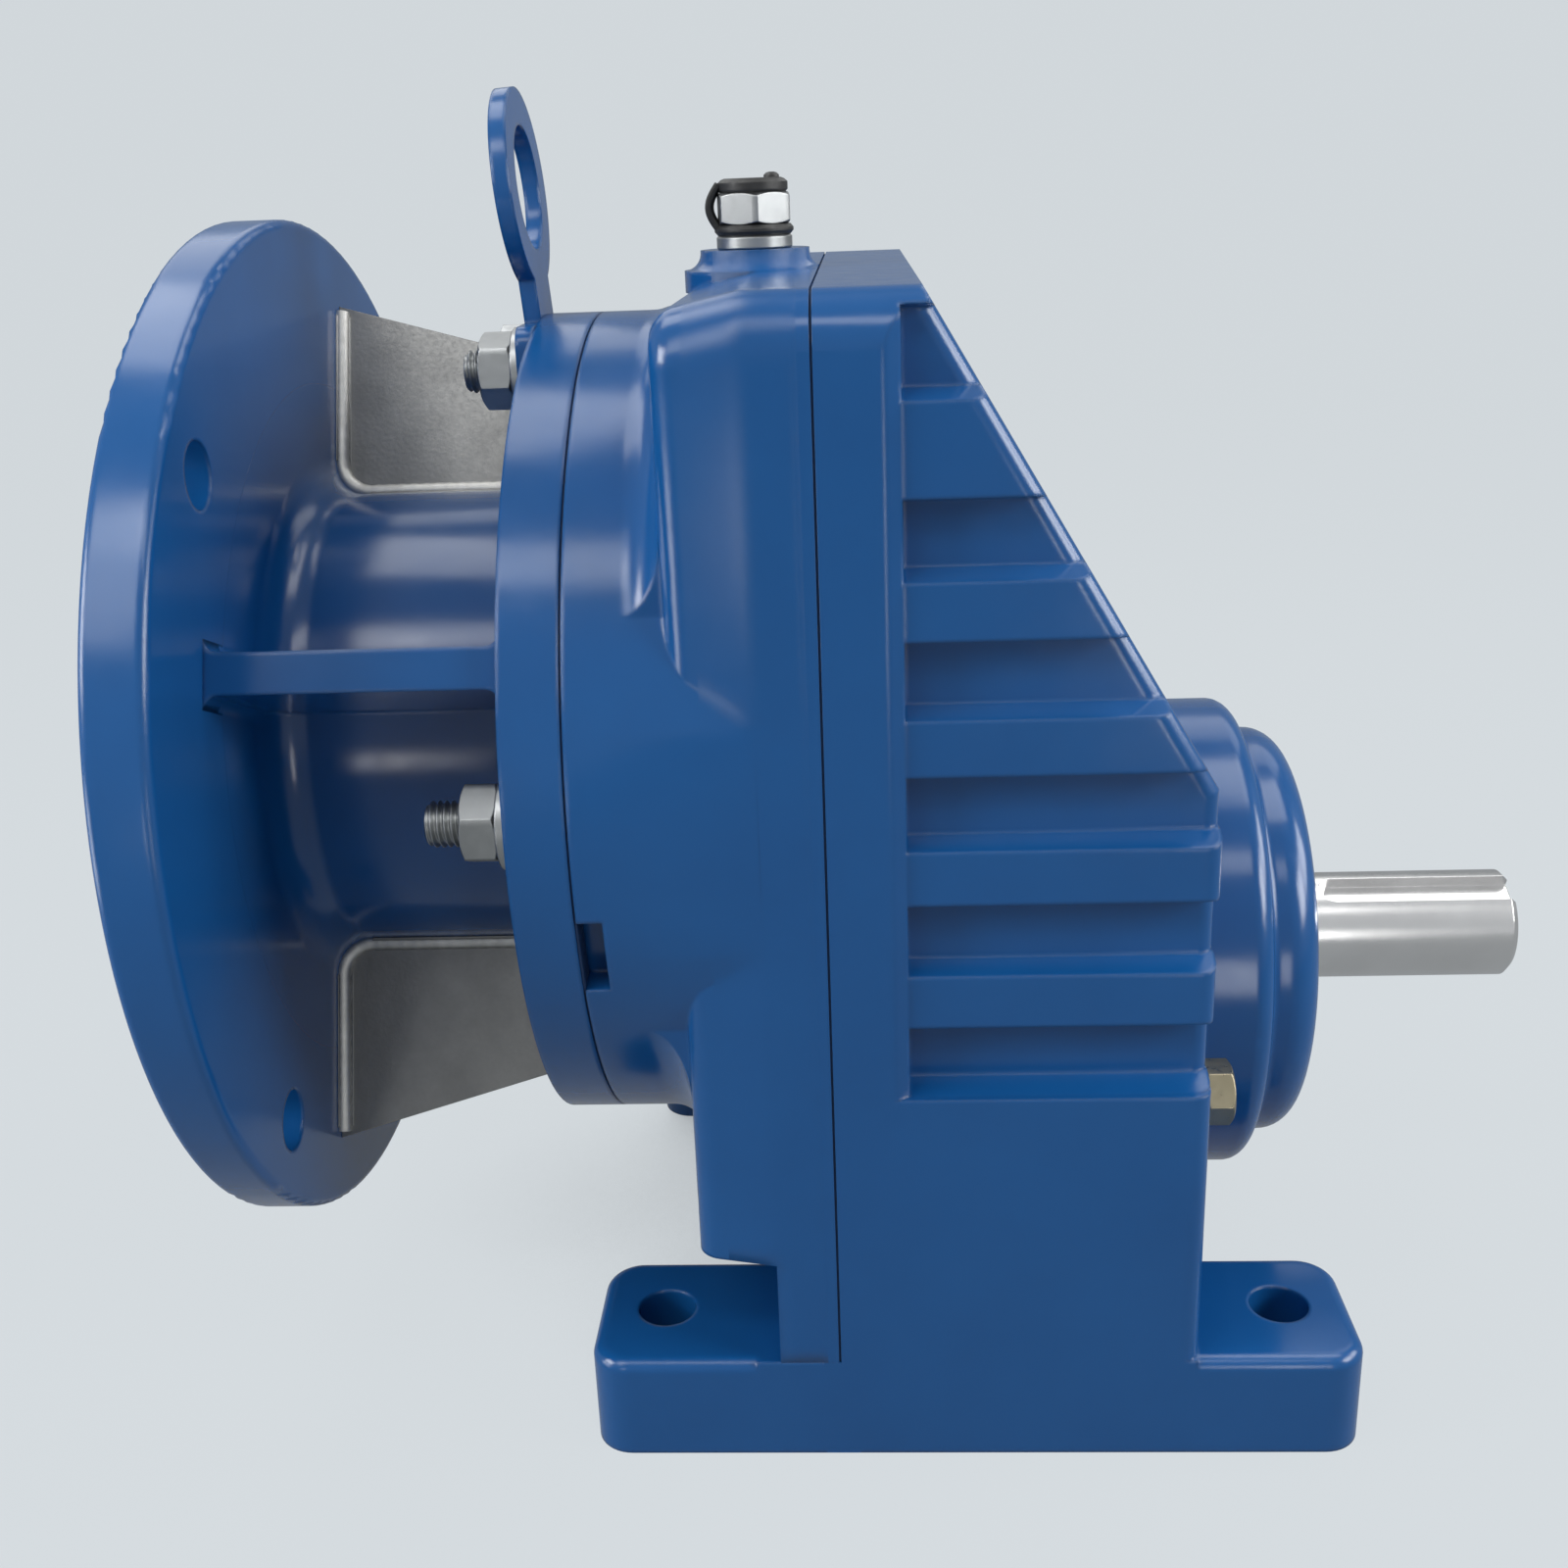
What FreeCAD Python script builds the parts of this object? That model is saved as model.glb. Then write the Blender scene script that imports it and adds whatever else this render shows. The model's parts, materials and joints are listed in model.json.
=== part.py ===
import FreeCAD, Part
import math
import os

from FreeCAD import Vector

# Foot-mounted two-stage gear reducer with a flange adapter for a motor.
# +X points out of the output shaft, +Z is up, the origin is on the floor at the centre of the foot bolts.
# Lengths are millimetres, angles are degrees.

# Shaft lines
OUTPUT_HEIGHT = 90.0
INPUT_RISE = 64.0
STAGE1_MODULE = 1.25
STAGE2_MODULE = 2.0
INPUT_TEETH = 14
COUNTER_GEAR_TEETH = 50
COUNTER_PINION_TEETH = 30
OUTPUT_TEETH = 74
PRESSURE_ANGLE = 20.0
TOOTH_THINNING = 0.12
ADDENDUM = 0.9
DEDENDUM = 1.25
INPUT_HEIGHT = OUTPUT_HEIGHT + INPUT_RISE
COUNTER_HEIGHT = INPUT_HEIGHT + STAGE1_MODULE * (INPUT_TEETH + COUNTER_GEAR_TEETH) / 2

# Gear case
CASE_WIDTH = 196.0
CASE_TOP = 264.0
CASE_WALL = 12.0
CASE_END_X = 51.0
SPLIT_X = -31.25
CREASE_X = -45.0
SHOULDER_X = -63.0
SHOULDER_INSET = 4.0
SHOULDER_ROUNDING = 6.0
RING_RADIUS = 101.0
RING_FLARE = 9.0
RING_X = -84.0
FRONT_WALL = 18.0
CASE_EDGE_RADIUS = 11.0
FLANK_ROUNDING = 3.5
RIDGE_ROUNDING = 2.0
RIDGE_RUN = 3.0
BASE_ROUNDING = 4.0
SLOPE_TOP_X = -10.0
SLOPE_ANGLE = 59.5
COVER_LIFT = 54.0
GASKET_THICKNESS = 0.5
GASKET_INSET = 0.6
ADAPTER_GASKET_BORE = 48.0

# Cooling grooves on both flanks of the case
PANEL_X = -17.4
PANEL_DEPTH = 2.0
GROOVE_DEPTH = 6.0
GROOVE_PITCH = 28.5
GROOVE_OPENING = 16.5
GROOVE_UPPER_SLOPE = 1.0
GROOVE_LOWER_SLOPE = 2.0
GROOVE_COUNT = 5
GROOVE_FIRST_HEIGHT = 102.0
GROOVE_START = 2.5
GROOVE_RIM = 3.0
TOP_RECESS_DROP = 21.0

# Slot beside the adapter joint
PRY_SLOT_ANGLE = -14.5
PRY_SLOT_WIDTH = 5.5
PRY_SLOT_LENGTH = 18.5
PRY_SLOT_DEPTH = 7.0

# Feet
FOOT_LENGTH = 180.0
FOOT_THICKNESS = 25.5
PAD_LENGTH = 39.5
PAD_DEPTH = 40.5
PAD_CORNER_RADIUS = 9.0
PAD_EDGE_RADIUS = 3.0
FOOT_HOLE_EDGE_X = 16.5
FOOT_HOLE_EDGE_Y = 21.0
FOOT_HOLE_DIAMETER = 14.0

# Output bearing boss
BOSS_ROOT_RADIUS = 61.5
BOSS_ROOT_LENGTH = 22.0
BOSS_NOSE_RADIUS = 53.5
BOSS_NOSE_LENGTH = 13.0
BOSS_ROOT_FLARE = 6.0
BOSS_ROOT_ROUNDING = 5.0
BOSS_STEP_FLARE = 2.0
BOSS_NOSE_ROUNDING = 8.0
BOSS_END_X = CASE_END_X + BOSS_ROOT_LENGTH + BOSS_NOSE_LENGTH

# Output shaft
SHAFT_END_DIAMETER = 28.0
SHAFT_END_LENGTH = 60.0
SHAFT_CHAMFER = 1.5
KEYWAY_WIDTH = 8.0
KEYWAY_DEPTH = 4.0
KEYWAY_LENGTH = 50.0
KEYWAY_ANGLE = 24.0
SEAL_JOURNAL_RADIUS = 15.0
GEAR_SEAT_RADIUS = 20.0
COLLAR_RADIUS = 25.0
COLLAR_LENGTH = 6.0

# Motor adapter
FLANGE_DIAMETER = 250.0
FLANGE_THICKNESS = 14.0
FLANGE_EDGE_RADIUS = 2.0
FLANGE_BOLT_EDGE = 17.5
FLANGE_BOLT_ANGLES = (45.0, 135.0, 225.0, 315.0)
FLANGE_HOLE_DIAMETER = 14.5
PILOT_DIAMETER = 180.0
PILOT_DEPTH = 5.0
PILOT_LEDGE = 4.0
ADAPTER_GAP = 62.0
DISC_THICKNESS = 13.0
BELL_RADIUS = 58.0
BELL_BORE_RADIUS = 46.0
BELL_FILLET = 9.0
WEB_ANGLE = 22.5
WEB_THICKNESS = 9.0
WEB_EDGE = 4.0
WEB_FLARE = 3.0
GUSSET_RIM = 16.0
GUSSET_EDGE = 10.0
GUSSET_THICKNESS = 8.0
WELD_LEG = 3.0
SEAT_CLEARANCE = 0.05

# Adapter studs, measured as elevation from the near horizontal
STUD_DIAMETER = 10.0
STUD_EDGE = 11.0
STUD_ANGLES = (2.0, 82.0, 98.0, 178.0, 262.0, 278.0)
STUD_GRIP = 14.0
STUD_PROJECTION = 18.0
NUT_FLATS = 16.0
NUT_HEIGHT = 8.0
WASHER_RADIUS = 10.0
WASHER_THICKNESS = 2.0
EYE_STUD_ANGLES = (82.0, 98.0)

# Lifting eye plate
EYE_HOLE_RADIUS = 14.0
EYE_RIM = 8.4
EYE_THICKNESS = 4.0
EYE_RISE = 41.0
EYE_LEAN = 4.0
EYE_NECK_WIDTH = 18.0
EYE_FOOT_WIDTH = 47.0
EYE_FOOT_DROP = 13.0
EYE_FOOT_RISE = 10.5
EYE_FOOT_ROUNDING = 5.0

# Case screws
SCREW_DIAMETER = 8.0
SCREW_HEAD_RADIUS = 6.5
SCREW_HEAD_RECESS = 1.0
SCREW_SOCKET_FLATS = 6.0
SCREW_HEAD_HEIGHT = 8.0
SCREW_GRIP = 20.0
SCREW_COLUMN_RADIUS = 10.0
SCREW_INSET = 14.0
SCREW_LIFT = 10.0
SCREW_DROP = 18.0
DRILL_CLEARANCE = 0.3

# Breather on the case top
BREATHER_X = -46.5
BREATHER_PAD_RADIUS = 13.0
BREATHER_PAD_HEIGHT = 4.5
BREATHER_PAD_FLARE = 4.0
BREATHER_COLLAR_RADIUS = 9.0
BREATHER_COLLAR_HEIGHT = 3.2
BREATHER_SEAL_RADIUS = 9.4
BREATHER_SEAL_HEIGHT = 2.3
BREATHER_HEX_FLATS = 16.5
BREATHER_HEX_HEIGHT = 7.2
BREATHER_CAP_RADIUS = 8.3
BREATHER_CAP_HEIGHT = 3.2
BREATHER_CAP_CHAMFER = 1.0
BREATHER_THREAD_RADIUS = 5.0
BREATHER_TURN = 8.0

# Oil level plug in the end wall
OIL_PLUG_CLEARANCE = 12.5
OIL_PLUG_HEIGHT = 85.0
OIL_PLUG_FLATS = 13.0
OIL_PLUG_HEAD = 6.5
OIL_PLUG_THREAD_RADIUS = 5.0
OIL_WASHER_RADIUS = 7.5
OIL_WASHER_THICKNESS = 1.0

# Gear widths and places along X
STAGE1_X = -60.0
STAGE1_WIDTH = 16.0
STAGE2_X = -28.5
STAGE2_WIDTH = 24.0
PINION_EXTRA = 2.0
GEAR_HUB_SLOT = 6.0
GEAR_KEY_DEPTH = 3.0

# Bearings: bore radius, outer radius, width and left face
OUTPUT_REAR_BORE = 15.0
OUTPUT_REAR_OUTER = 31.0
OUTPUT_REAR_WIDTH = 16.0
OUTPUT_REAR_X = -68.0
OUTPUT_FRONT_BORE = 17.5
OUTPUT_FRONT_OUTER = 36.0
OUTPUT_FRONT_WIDTH = 17.0
OUTPUT_FRONT_X = 59.0
COUNTER_REAR_BORE = 8.5
COUNTER_REAR_OUTER = 20.0
COUNTER_REAR_WIDTH = 12.0
COUNTER_REAR_X = -78.0
COUNTER_FRONT_BORE = 8.5
COUNTER_FRONT_OUTER = 20.0
COUNTER_FRONT_WIDTH = 12.0
COUNTER_FRONT_X = 2.0
INPUT_PAIR_BORE = 20.0
INPUT_PAIR_OUTER = 34.0
INPUT_PAIR_WIDTH = 15.0
INPUT_OUTER_X = -130.0
INPUT_INNER_X = -99.0
RING_SHARE = 0.28
BEARING_RELIEF = 1.0
ROLLER_PLAY = 0.05
ROLLER_END_ROOM = 1.5
ROLLER_COUNT = 9
CIRCLIP_THICKNESS = 2.0
CIRCLIP_BITE = 2.0
CIRCLIP_LIP = 3.0
BEARING_BOSS_WALL = 9.0

# Input quill
QUILL_RADIUS = 24.0
QUILL_END_X = -166.0
MOTOR_BORE_DIAMETER = 28.0
MOTOR_BORE_LENGTH = 60.0
MOTOR_KEYWAY_WIDTH = 8.0
MOTOR_KEYWAY_DEPTH = 3.3
PINION_SHAFT_RADIUS = 11.0
SEAL_RUNNING_GAP = 0.05
INPUT_SEAL_RADIUS = 18.0
INPUT_SEAL_WIDTH = 7.0
OUTPUT_SEAL_RADIUS = 26.0
OUTPUT_SEAL_WIDTH = 8.0
SHAFT_PASSAGE = 2.0
SPACER_WALL = 3.0

# Worked-out places
HALF_WIDTH = CASE_WIDTH / 2
ADAPTER_FACE_X = RING_X - GASKET_THICKNESS
DISC_X = ADAPTER_FACE_X - DISC_THICKNESS
FLANGE_FACE_X = DISC_X - ADAPTER_GAP
MOTOR_FACE_X = FLANGE_FACE_X - FLANGE_THICKNESS
PILOT_FLOOR_X = MOTOR_FACE_X + PILOT_DEPTH
END_PLATE_RADIUS = PILOT_DIAMETER / 2 - PILOT_LEDGE
PAD_INNER_X = FOOT_LENGTH / 2 - PAD_LENGTH
COVER_FACE_X = SPLIT_X - GASKET_THICKNESS / 2
HOUSING_FACE_X = SPLIT_X + GASKET_THICKNESS / 2
CAVITY_HALF = HALF_WIDTH - CASE_WALL
CAVITY_TOP = CASE_TOP - CASE_WALL
COVER_FLOOR = FOOT_THICKNESS + CASE_WALL
INPUT_SEAL_X = RING_X + BEARING_RELIEF
SCREW_SEAT_X = SHOULDER_X + SCREW_HEAD_RECESS + SCREW_HEAD_HEIGHT
SCREW_Y = HALF_WIDTH - SCREW_INSET
SCREW_HEIGHTS = (COVER_LIFT + SCREW_LIFT, CASE_TOP - SCREW_DROP)
PANEL_HALF = HALF_WIDTH - PANEL_DEPTH
PANEL_BOTTOM = GROOVE_FIRST_HEIGHT - GROOVE_OPENING / 2
FOOT_HOLE_X = FOOT_LENGTH / 2 - FOOT_HOLE_EDGE_X
FOOT_HOLE_Y = HALF_WIDTH - FOOT_HOLE_EDGE_Y
FLANGE_BOLT_RADIUS = FLANGE_DIAMETER / 2 - FLANGE_BOLT_EDGE
GUSSET_FLANGE_RADIUS = FLANGE_DIAMETER / 2 - GUSSET_RIM
OIL_PLUG_Y = -BOSS_ROOT_RADIUS - BOSS_ROOT_FLARE - OIL_PLUG_CLEARANCE
BREATHER_SEAT = CASE_TOP + BREATHER_PAD_HEIGHT
STUD_CIRCLE_RADIUS = RING_RADIUS - STUD_EDGE
WEB_RADIUS = RING_RADIUS - WEB_EDGE
GUSSET_DISC_RADIUS = RING_RADIUS - GUSSET_EDGE
OUTPUT_REAR_BEARING = (OUTPUT_REAR_BORE, OUTPUT_REAR_OUTER, OUTPUT_REAR_WIDTH, OUTPUT_REAR_X)
OUTPUT_FRONT_BEARING = (OUTPUT_FRONT_BORE, OUTPUT_FRONT_OUTER, OUTPUT_FRONT_WIDTH, OUTPUT_FRONT_X)
COUNTER_REAR_BEARING = (COUNTER_REAR_BORE, COUNTER_REAR_OUTER, COUNTER_REAR_WIDTH, COUNTER_REAR_X)
COUNTER_FRONT_BEARING = (COUNTER_FRONT_BORE, COUNTER_FRONT_OUTER, COUNTER_FRONT_WIDTH, COUNTER_FRONT_X)
INPUT_OUTER_BEARING = (INPUT_PAIR_BORE, INPUT_PAIR_OUTER, INPUT_PAIR_WIDTH, INPUT_OUTER_X)
INPUT_INNER_BEARING = (INPUT_PAIR_BORE, INPUT_PAIR_OUTER, INPUT_PAIR_WIDTH, INPUT_INNER_X)
OVERSHOOT = 5.0
TINY = 1e-6
NODES = {}


# Drawing helpers

def rod_x(radius, x0, x1, height=0.0, y=0.0):
    return Part.makeCylinder(radius, x1 - x0, Vector(x0, y, height), Vector(1, 0, 0))


def ring_x(outer, inner, x0, x1, height, y=0.0):
    return rod_x(outer, x0, x1, height, y).cut(rod_x(inner, x0, x1, height, y))


def rod_z(radius, z0, z1, x, y=0.0):
    return Part.makeCylinder(radius, z1 - z0, Vector(x, y, z0), Vector(0, 0, 1))


def block(x0, x1, y0, y1, z0, z1):
    return Part.makeBox(x1 - x0, y1 - y0, z1 - z0, Vector(x0, y0, z0))


def face_of(points):
    return Part.Face(Part.makePolygon(points + points[:1]))


def rounded_face(corners):
    """Face inside a closed outline; each corner is a point and the radius that rounds it."""
    arcs = []
    for place, (point, rounding) in enumerate(corners):
        before = (corners[place - 1][0] - point).normalize()
        after = (corners[(place + 1) % len(corners)][0] - point).normalize()
        half = before.getAngle(after) / 2
        reach = rounding / math.tan(half)
        middle = point
        if rounding:
            middle = point + (before + after).normalize() * (rounding / math.sin(half) - rounding)
        arcs.append((point + before * reach, middle, point + after * reach))
    edges = []
    for place, (start, middle, stop) in enumerate(arcs):
        if corners[place][1]:
            edges.append(Part.Arc(start, middle, stop).toShape())
        following = arcs[(place + 1) % len(arcs)][0]
        if stop.distanceToPoint(following) > TINY:
            edges.append(Part.LineSegment(stop, following).toShape())
    return Part.Face(Part.Wire(edges))


def prism_y(outline, y0, y1):
    face = face_of([Vector(x, y0, z) for x, z in outline])
    return face.extrude(Vector(0, y1 - y0, 0))


def prism_x(outline, x0, x1):
    face = face_of([Vector(x0, y, z) for y, z in outline])
    return face.extrude(Vector(x1 - x0, 0, 0))


def turned_x(outline, height, roundings=None):
    """Solid turned round an X line; roundings gives a radius for corners by their place in the outline."""
    radii = roundings or {}
    corners = [(Vector(x, 0, height + r), radii.get(place, 0.0)) for place, (x, r) in enumerate(outline)]
    return rounded_face(corners).revolve(Vector(0, 0, height), Vector(1, 0, 0), 360)


def hexagon(flats, centre, axis, length, first_corner):
    corner = flats / math.sqrt(3)
    side = axis.cross(first_corner)
    points = []
    for step in range(6):
        turn = math.radians(60 * step)
        points.append(centre + first_corner * (corner * math.cos(turn)) + side * (corner * math.sin(turn)))
    return face_of(points).extrude(axis * length)


def fuse_all(shapes):
    return shapes[0].multiFuse(shapes[1:]).removeSplitter()


def round_edges(shape, radius, wanted):
    edges = [edge for edge in shape.Edges if wanted(edge)]
    return shape.makeFillet(radius, edges)


def runs_along(edge, axis):
    ends = edge.Vertexes
    if len(ends) != 2:
        return False
    span = ends[1].Point - ends[0].Point
    return abs(abs(span.normalize().dot(axis)) - 1) < TINY


def lies_at_x(edge, x):
    box = edge.BoundBox
    return abs(box.XMin - x) < TINY and abs(box.XMax - x) < TINY


def stands_at_x(edge, x):
    return lies_at_x(edge, x) and runs_along(edge, Vector(0, 0, 1))


def seat_relief(size, height, x0, x1):
    """Room beside a bearing seat, inside its outer ring."""
    bore, outer = size[0], size[1]
    return rod_x(outer - RING_SHARE * (outer - bore), x0, x1, height)


def both_sides(shape):
    return [shape, shape.mirror(Vector(0, 0, 0), Vector(0, 1, 0))]


def keep(name, shape):
    NODES[name] = shape


def around_input(angle, radius):
    """Y and Z of a point round the input line, at an elevation from the near horizontal."""
    turn = math.radians(angle)
    return -radius * math.cos(turn), INPUT_HEIGHT + radius * math.sin(turn)


def turn_to(shape, angle):
    """Turns a shape drawn straight above the input line to an elevation from the near horizontal."""
    turned = shape.copy()
    turned.rotate(Vector(0, 0, INPUT_HEIGHT), Vector(1, 0, 0), 90 - angle)
    return turned


# Gear teeth

def involute_point(base_radius, radius, start):
    roll = math.sqrt(max((radius / base_radius) ** 2 - 1, 0))
    angle = start - (roll - math.atan(roll))
    return radius, angle


def gear_blank(teeth, module, width, x0, height, half_pitch_turn=False):
    """Spur gear with an involute arc on each flank; a tooth or a gap points straight up."""
    pitch_radius = module * teeth / 2
    tip = pitch_radius + ADDENDUM * module
    root = pitch_radius - DEDENDUM * module
    base = pitch_radius * math.cos(math.radians(PRESSURE_ANGLE))
    start_roll = max(root, base)
    inv = math.tan(math.radians(PRESSURE_ANGLE)) - math.radians(PRESSURE_ANGLE)
    half_tooth = (math.pi * module / 2 - TOOTH_THINNING) / (2 * pitch_radius)
    flank_start = half_tooth + inv
    pitch_angle = 2 * math.pi / teeth
    offset = pitch_angle / 2 if half_pitch_turn else 0.0

    def at(radius, angle):
        return Vector(x0, radius * math.sin(angle), height + radius * math.cos(angle))

    flank = []
    for radius in (start_roll, (start_roll + tip) / 2, tip):
        flank.append(involute_point(base, radius, flank_start))
    edges = []
    for number in range(teeth):
        middle = offset + number * pitch_angle
        rise = [at(radius, middle - angle) for radius, angle in flank]
        fall = [at(radius, middle + angle) for radius, angle in reversed(flank)]
        root_in = at(root, middle - flank[0][1])
        root_out = at(root, middle + flank[0][1])
        next_in = at(root, middle + pitch_angle - flank[0][1])
        if start_roll - root > TINY:
            edges.append(Part.LineSegment(root_in, rise[0]).toShape())
        edges.append(Part.Arc(*rise).toShape())
        edges.append(Part.LineSegment(rise[2], fall[0]).toShape())
        edges.append(Part.Arc(*fall).toShape())
        if start_roll - root > TINY:
            edges.append(Part.LineSegment(fall[2], root_out).toShape())
        edges.append(Part.LineSegment(root_out, next_in).toShape())
    wire = Part.Wire(edges)
    return Part.Face(wire).extrude(Vector(width, 0, 0))


def key_cutter(x0, x1, height, radius, width, depth):
    """Bar that fills a keyway on the upper side of a shaft."""
    return block(x0, x1, -width / 2, width / 2, height + radius - depth, height + radius + depth)


# Gear housing with feet, cooling grooves and output boss

def case_profile(x0, inset=0.0):
    """Side outline of the case from x0 to the output end, inset on the walls that it has."""
    slope_shift = inset / math.sin(math.radians(SLOPE_ANGLE))
    steep = math.tan(math.radians(SLOPE_ANGLE))
    end = CASE_END_X - inset
    top = CASE_TOP - inset
    top_x = SLOPE_TOP_X + inset / steep - slope_shift
    foot = top - (end - top_x) * steep
    return [(x0, inset), (end, inset), (end, foot), (top_x, top), (x0, top)]


def rounded_section(x, side, top, bottom):
    """Face of the case section at x, with round upper corners."""
    return rounded_face([(Vector(x, -side, bottom), 0.0), (Vector(x, side, bottom), 0.0),
                         (Vector(x, side, top), CASE_EDGE_RADIUS), (Vector(x, -side, top), CASE_EDGE_RADIUS)])


def foot_pad():
    pad = block(PAD_INNER_X, FOOT_LENGTH / 2, HALF_WIDTH - PAD_DEPTH, HALF_WIDTH, 0, FOOT_THICKNESS)
    outer_x = FOOT_LENGTH / 2

    def upright(edge):
        middle = edge.CenterOfMass
        return runs_along(edge, Vector(0, 0, 1)) and abs(middle.x - outer_x) < TINY

    def rim(edge):
        middle = edge.CenterOfMass
        return abs(middle.z - FOOT_THICKNESS) < TINY and middle.x > PAD_INNER_X + TINY

    pad = round_edges(pad, PAD_CORNER_RADIUS, upright)
    return round_edges(pad, PAD_EDGE_RADIUS, rim)


def feet():
    pads = []
    for shape in both_sides(foot_pad()):
        pads.append(shape)
        pads.append(shape.mirror(Vector(0, 0, 0), Vector(1, 0, 0)))
    return pads


def foot_holes():
    holes = []
    for x in (-FOOT_HOLE_X, FOOT_HOLE_X):
        for y in (-FOOT_HOLE_Y, FOOT_HOLE_Y):
            holes.append(rod_z(FOOT_HOLE_DIAMETER / 2, -OVERSHOOT, FOOT_THICKNESS + OVERSHOOT, x, y))
    return holes


def groove_cutters():
    """Grooves and top recess of the near flank; they run out through the slope and the end wall."""
    groove_floor = GROOVE_DEPTH - PANEL_HALF
    outside = -HALF_WIDTH - OVERSHOOT
    start = PANEL_X + GROOVE_START
    beyond = CASE_END_X + OVERSHOOT
    spans = []
    for number in range(GROOVE_COUNT):
        low = PANEL_BOTTOM + number * GROOVE_PITCH
        spans.append((low, low + GROOVE_OPENING))
    spans.append((CASE_TOP - TOP_RECESS_DROP, CASE_TOP - GROOVE_RIM))
    cutters = []
    for low, high in spans:
        floor_low = low + GROOVE_LOWER_SLOPE
        floor_high = high - GROOVE_UPPER_SLOPE
        lower_wall = [(outside, low), (-PANEL_HALF, low), (groove_floor, floor_low), (0, floor_low)]
        upper_wall = [(0, floor_high), (groove_floor, floor_high), (-PANEL_HALF, high), (outside, high)]
        outline = lower_wall + upper_wall
        cutters.append(prism_x(outline, start, beyond))
    return cutters


def case_envelope():
    """Case section with its round upper corners, run from the split to the end wall."""
    section = rounded_section(HOUSING_FACE_X, HALF_WIDTH, CASE_TOP, 0.0)
    return section.extrude(Vector(CASE_END_X - HOUSING_FACE_X, 0, 0))


def ridge():
    """Full-width band beside the split, which ramps down to the grooved flank."""
    ramp_end = PANEL_X + RIDGE_RUN
    side = [(HOUSING_FACE_X, HALF_WIDTH, 0.0), (PANEL_X, HALF_WIDTH, RIDGE_ROUNDING), (ramp_end, PANEL_HALF, 0.0)]
    plan = side + [(x, -y, rounding) for x, y, rounding in reversed(side)]
    band = rounded_face([(Vector(x, y, 0), rounding) for x, y, rounding in plan])
    return band.extrude(Vector(0, 0, CASE_TOP)).common(case_envelope())


def flank_solid(half):
    """Case between the ridge and the end wall, with soft edges along the slope and the end."""
    solid = prism_y(case_profile(HOUSING_FACE_X), -half, half)

    def outer_rim(edge):
        middle = edge.CenterOfMass
        return abs(abs(middle.y) - half) < TINY and middle.x > SLOPE_TOP_X and middle.z > TINY

    return round_edges(solid, FLANK_ROUNDING, outer_rim).common(case_envelope())


def output_boss():
    """Bearing boss turned in one profile, with a flare where it leaves the end wall."""
    start = CASE_END_X - OVERSHOOT
    root_end = CASE_END_X + BOSS_ROOT_LENGTH
    flare = BOSS_ROOT_RADIUS + BOSS_ROOT_FLARE
    outline = [(start, 0), (start, flare), (CASE_END_X, flare), (CASE_END_X, BOSS_ROOT_RADIUS),
               (root_end, BOSS_ROOT_RADIUS), (root_end, BOSS_NOSE_RADIUS), (BOSS_END_X, BOSS_NOSE_RADIUS),
               (BOSS_END_X, 0)]
    roundings = {3: BOSS_ROOT_FLARE, 4: BOSS_ROOT_ROUNDING, 5: BOSS_STEP_FLARE, 6: BOSS_NOSE_ROUNDING}
    return turned_x(outline, OUTPUT_HEIGHT, roundings)


def screw_places():
    return [(y, z) for z in SCREW_HEIGHTS for y in (-SCREW_Y, SCREW_Y)]


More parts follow.
